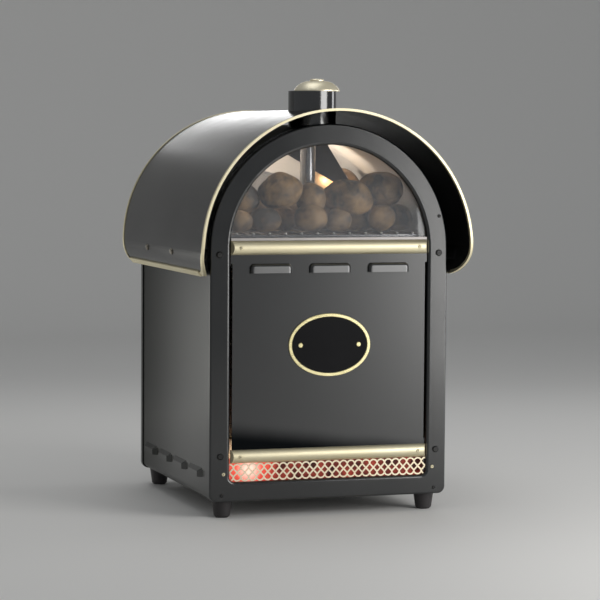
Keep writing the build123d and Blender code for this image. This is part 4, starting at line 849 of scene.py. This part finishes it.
painted_hot_spot.color_ramp.elements[1].color = (0.0, 0.0, 0.0, 1.0)
painted_spot_edge = painted_hot_spot.color_ramp.elements.new(0.42)
painted_spot_edge.color = (0.62, 0.07, 0.045, 1.0)
wire(glow_red, nearness.outputs["Result"], painted_hot_spot.inputs["Fac"])
glow = tree.nodes.new("ShaderNodeMix")
glow.data_type = "RGBA"
glow.blend_type = "ADD"
glow.inputs["Factor"].default_value = 1.0
wire(glow_red, tint.outputs["Color"], glow.inputs["A"])
wire(glow_red, painted_hot_spot.outputs["Color"], glow.inputs["B"])
red = shader(glow_red, Roughness=0.3, Emission_Strength=1.3)
wire(glow_red, tint.outputs["Color"], red.inputs["Base Color"])
wire(glow_red, glow.outputs["Result"], red.inputs["Emission Color"])
wire(glow_red, red.outputs[0], output.inputs[0])
dress(glow_red, "glow_screen")

low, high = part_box("lamp_shield")
VAULT_LIGHT = (1.0, 0.90, 0.78)
vault_lights = (  # name, place, watts, radius
    ("vault_lamp", (0.064, high.y + 0.013, 0.535), 0.12, 0.012),
    ("vault_bounce", (-0.030, high.y + 0.06, 0.545), 1.15, 0.05),
)
for name, spot, power, softness in vault_lights:
    light = bpy.data.lights.new(name, "POINT")
    light.energy = power
    light.color = VAULT_LIGHT
    light.shadow_soft_size = softness
    lamp = bpy.data.objects.new(name, light)
    lamp.location = spot
    lamp.visible_camera = False
    lamp.visible_transmission = False
    lamp.visible_glossy = False
    bpy.context.scene.collection.objects.link(lamp)

# ---- Potatoes -----------------------------------------------------------------------------------
# Baked potatoes on show behind the glass. They stand for food and aren't part of the oven.

potato_skin, output = new_material("potato_skin")
tree = potato_skin.node_tree
place = tree.nodes.new("ShaderNodeTexCoord").outputs["Object"]
mottle = noise_texture(tree, place, 24.0, 7.0, 0.62)
skin_tint = tree.nodes.new("ShaderNodeValToRGB")
skin_tint.color_ramp.elements[0].position = 0.42
skin_tint.color_ramp.elements[0].color = (0.050, 0.038, 0.032, 1.0)
skin_tint.color_ramp.elements[1].position = 0.60
skin_tint.color_ramp.elements[1].color = (0.35, 0.215, 0.10, 1.0)
wire(potato_skin, mottle, skin_tint.inputs["Fac"])
wrinkle = noise_texture(tree, place, 120.0, 6.0, 0.65)
bump = tree.nodes.new("ShaderNodeBump")
bump.inputs["Strength"].default_value = 0.5
bump.inputs["Distance"].default_value = 0.002
wire(potato_skin, wrinkle, bump.inputs["Height"])
flesh = shader(potato_skin, Roughness=0.6)
wire(potato_skin, skin_tint.outputs["Color"], flesh.inputs["Base Color"])
wire(potato_skin, bump.outputs["Normal"], flesh.inputs["Normal"])
wire(potato_skin, flesh.outputs[0], output.inputs[0])

# Centre to the right, height above the foot of the frame, depth behind its face, width and
# thickness, in millimetres: first those that show in front, then the ones behind them.
potato_places = [
    (-67, 492, 58, 74, 59), (-13, 480, 66, 50, 50), (50, 481, 60, 82, 58),
    (110, 494, 72, 78, 56), (-17, 448, 52, 54, 46), (31, 445, 55, 44, 38),
    (105, 448, 56, 46, 46), (-93, 445, 55, 54, 38), (-124, 480, 72, 52, 50),
    (-137, 444, 52, 44, 36), (72, 446, 92, 50, 42), (145, 447, 88, 52, 44),
    (-46, 446, 100, 46, 40), (65, 492, 245, 60, 62), (106, 497, 250, 72, 56),
    (40, 449, 150, 74, 48), (100, 450, 150, 70, 50), (-70, 453, 170, 78, 56),
    (10, 452, 225, 76, 54), (95, 455, 235, 84, 60), (-90, 452, 250, 76, 54),
    (-20, 453, 300, 80, 56), (70, 452, 320, 74, 54),
]
FACE_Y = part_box("front_frame")[0].y
FRAME_FOOT = 0.027
dice = random.Random(7)
for number, (x, height, depth, width, tall) in enumerate(potato_places):
    form = bmesh.new()
    bmesh.ops.create_icosphere(form, subdivisions=4, radius=0.5)
    shift = Vector((dice.uniform(0, 50), dice.uniform(0, 50), dice.uniform(0, 50)))
    for vert in form.verts:
        lumps = noise.noise(vert.co * 2.4 + shift) * 0.11
        dimples = noise.noise(vert.co * 6.0 + shift) * 0.03
        vert.co *= 1.0 + (lumps + dimples)
    bmesh.ops.scale(form, vec=(width * MM, 0.9 * tall * MM, tall * MM), verts=form.verts)
    lean = Matrix.Rotation(dice.uniform(-0.3, 0.3), 3, "Y")
    turn = lean @ Matrix.Rotation(dice.uniform(-0.4, 0.4), 3, "Z")
    bmesh.ops.rotate(form, cent=(0, 0, 0), matrix=turn, verts=form.verts)
    spot = (x * MM, FACE_Y + depth * MM, FRAME_FOOT + height * MM)
    bmesh.ops.translate(form, vec=spot, verts=form.verts)
    mesh_object(f"potato_{number:02d}", form, potato_skin)
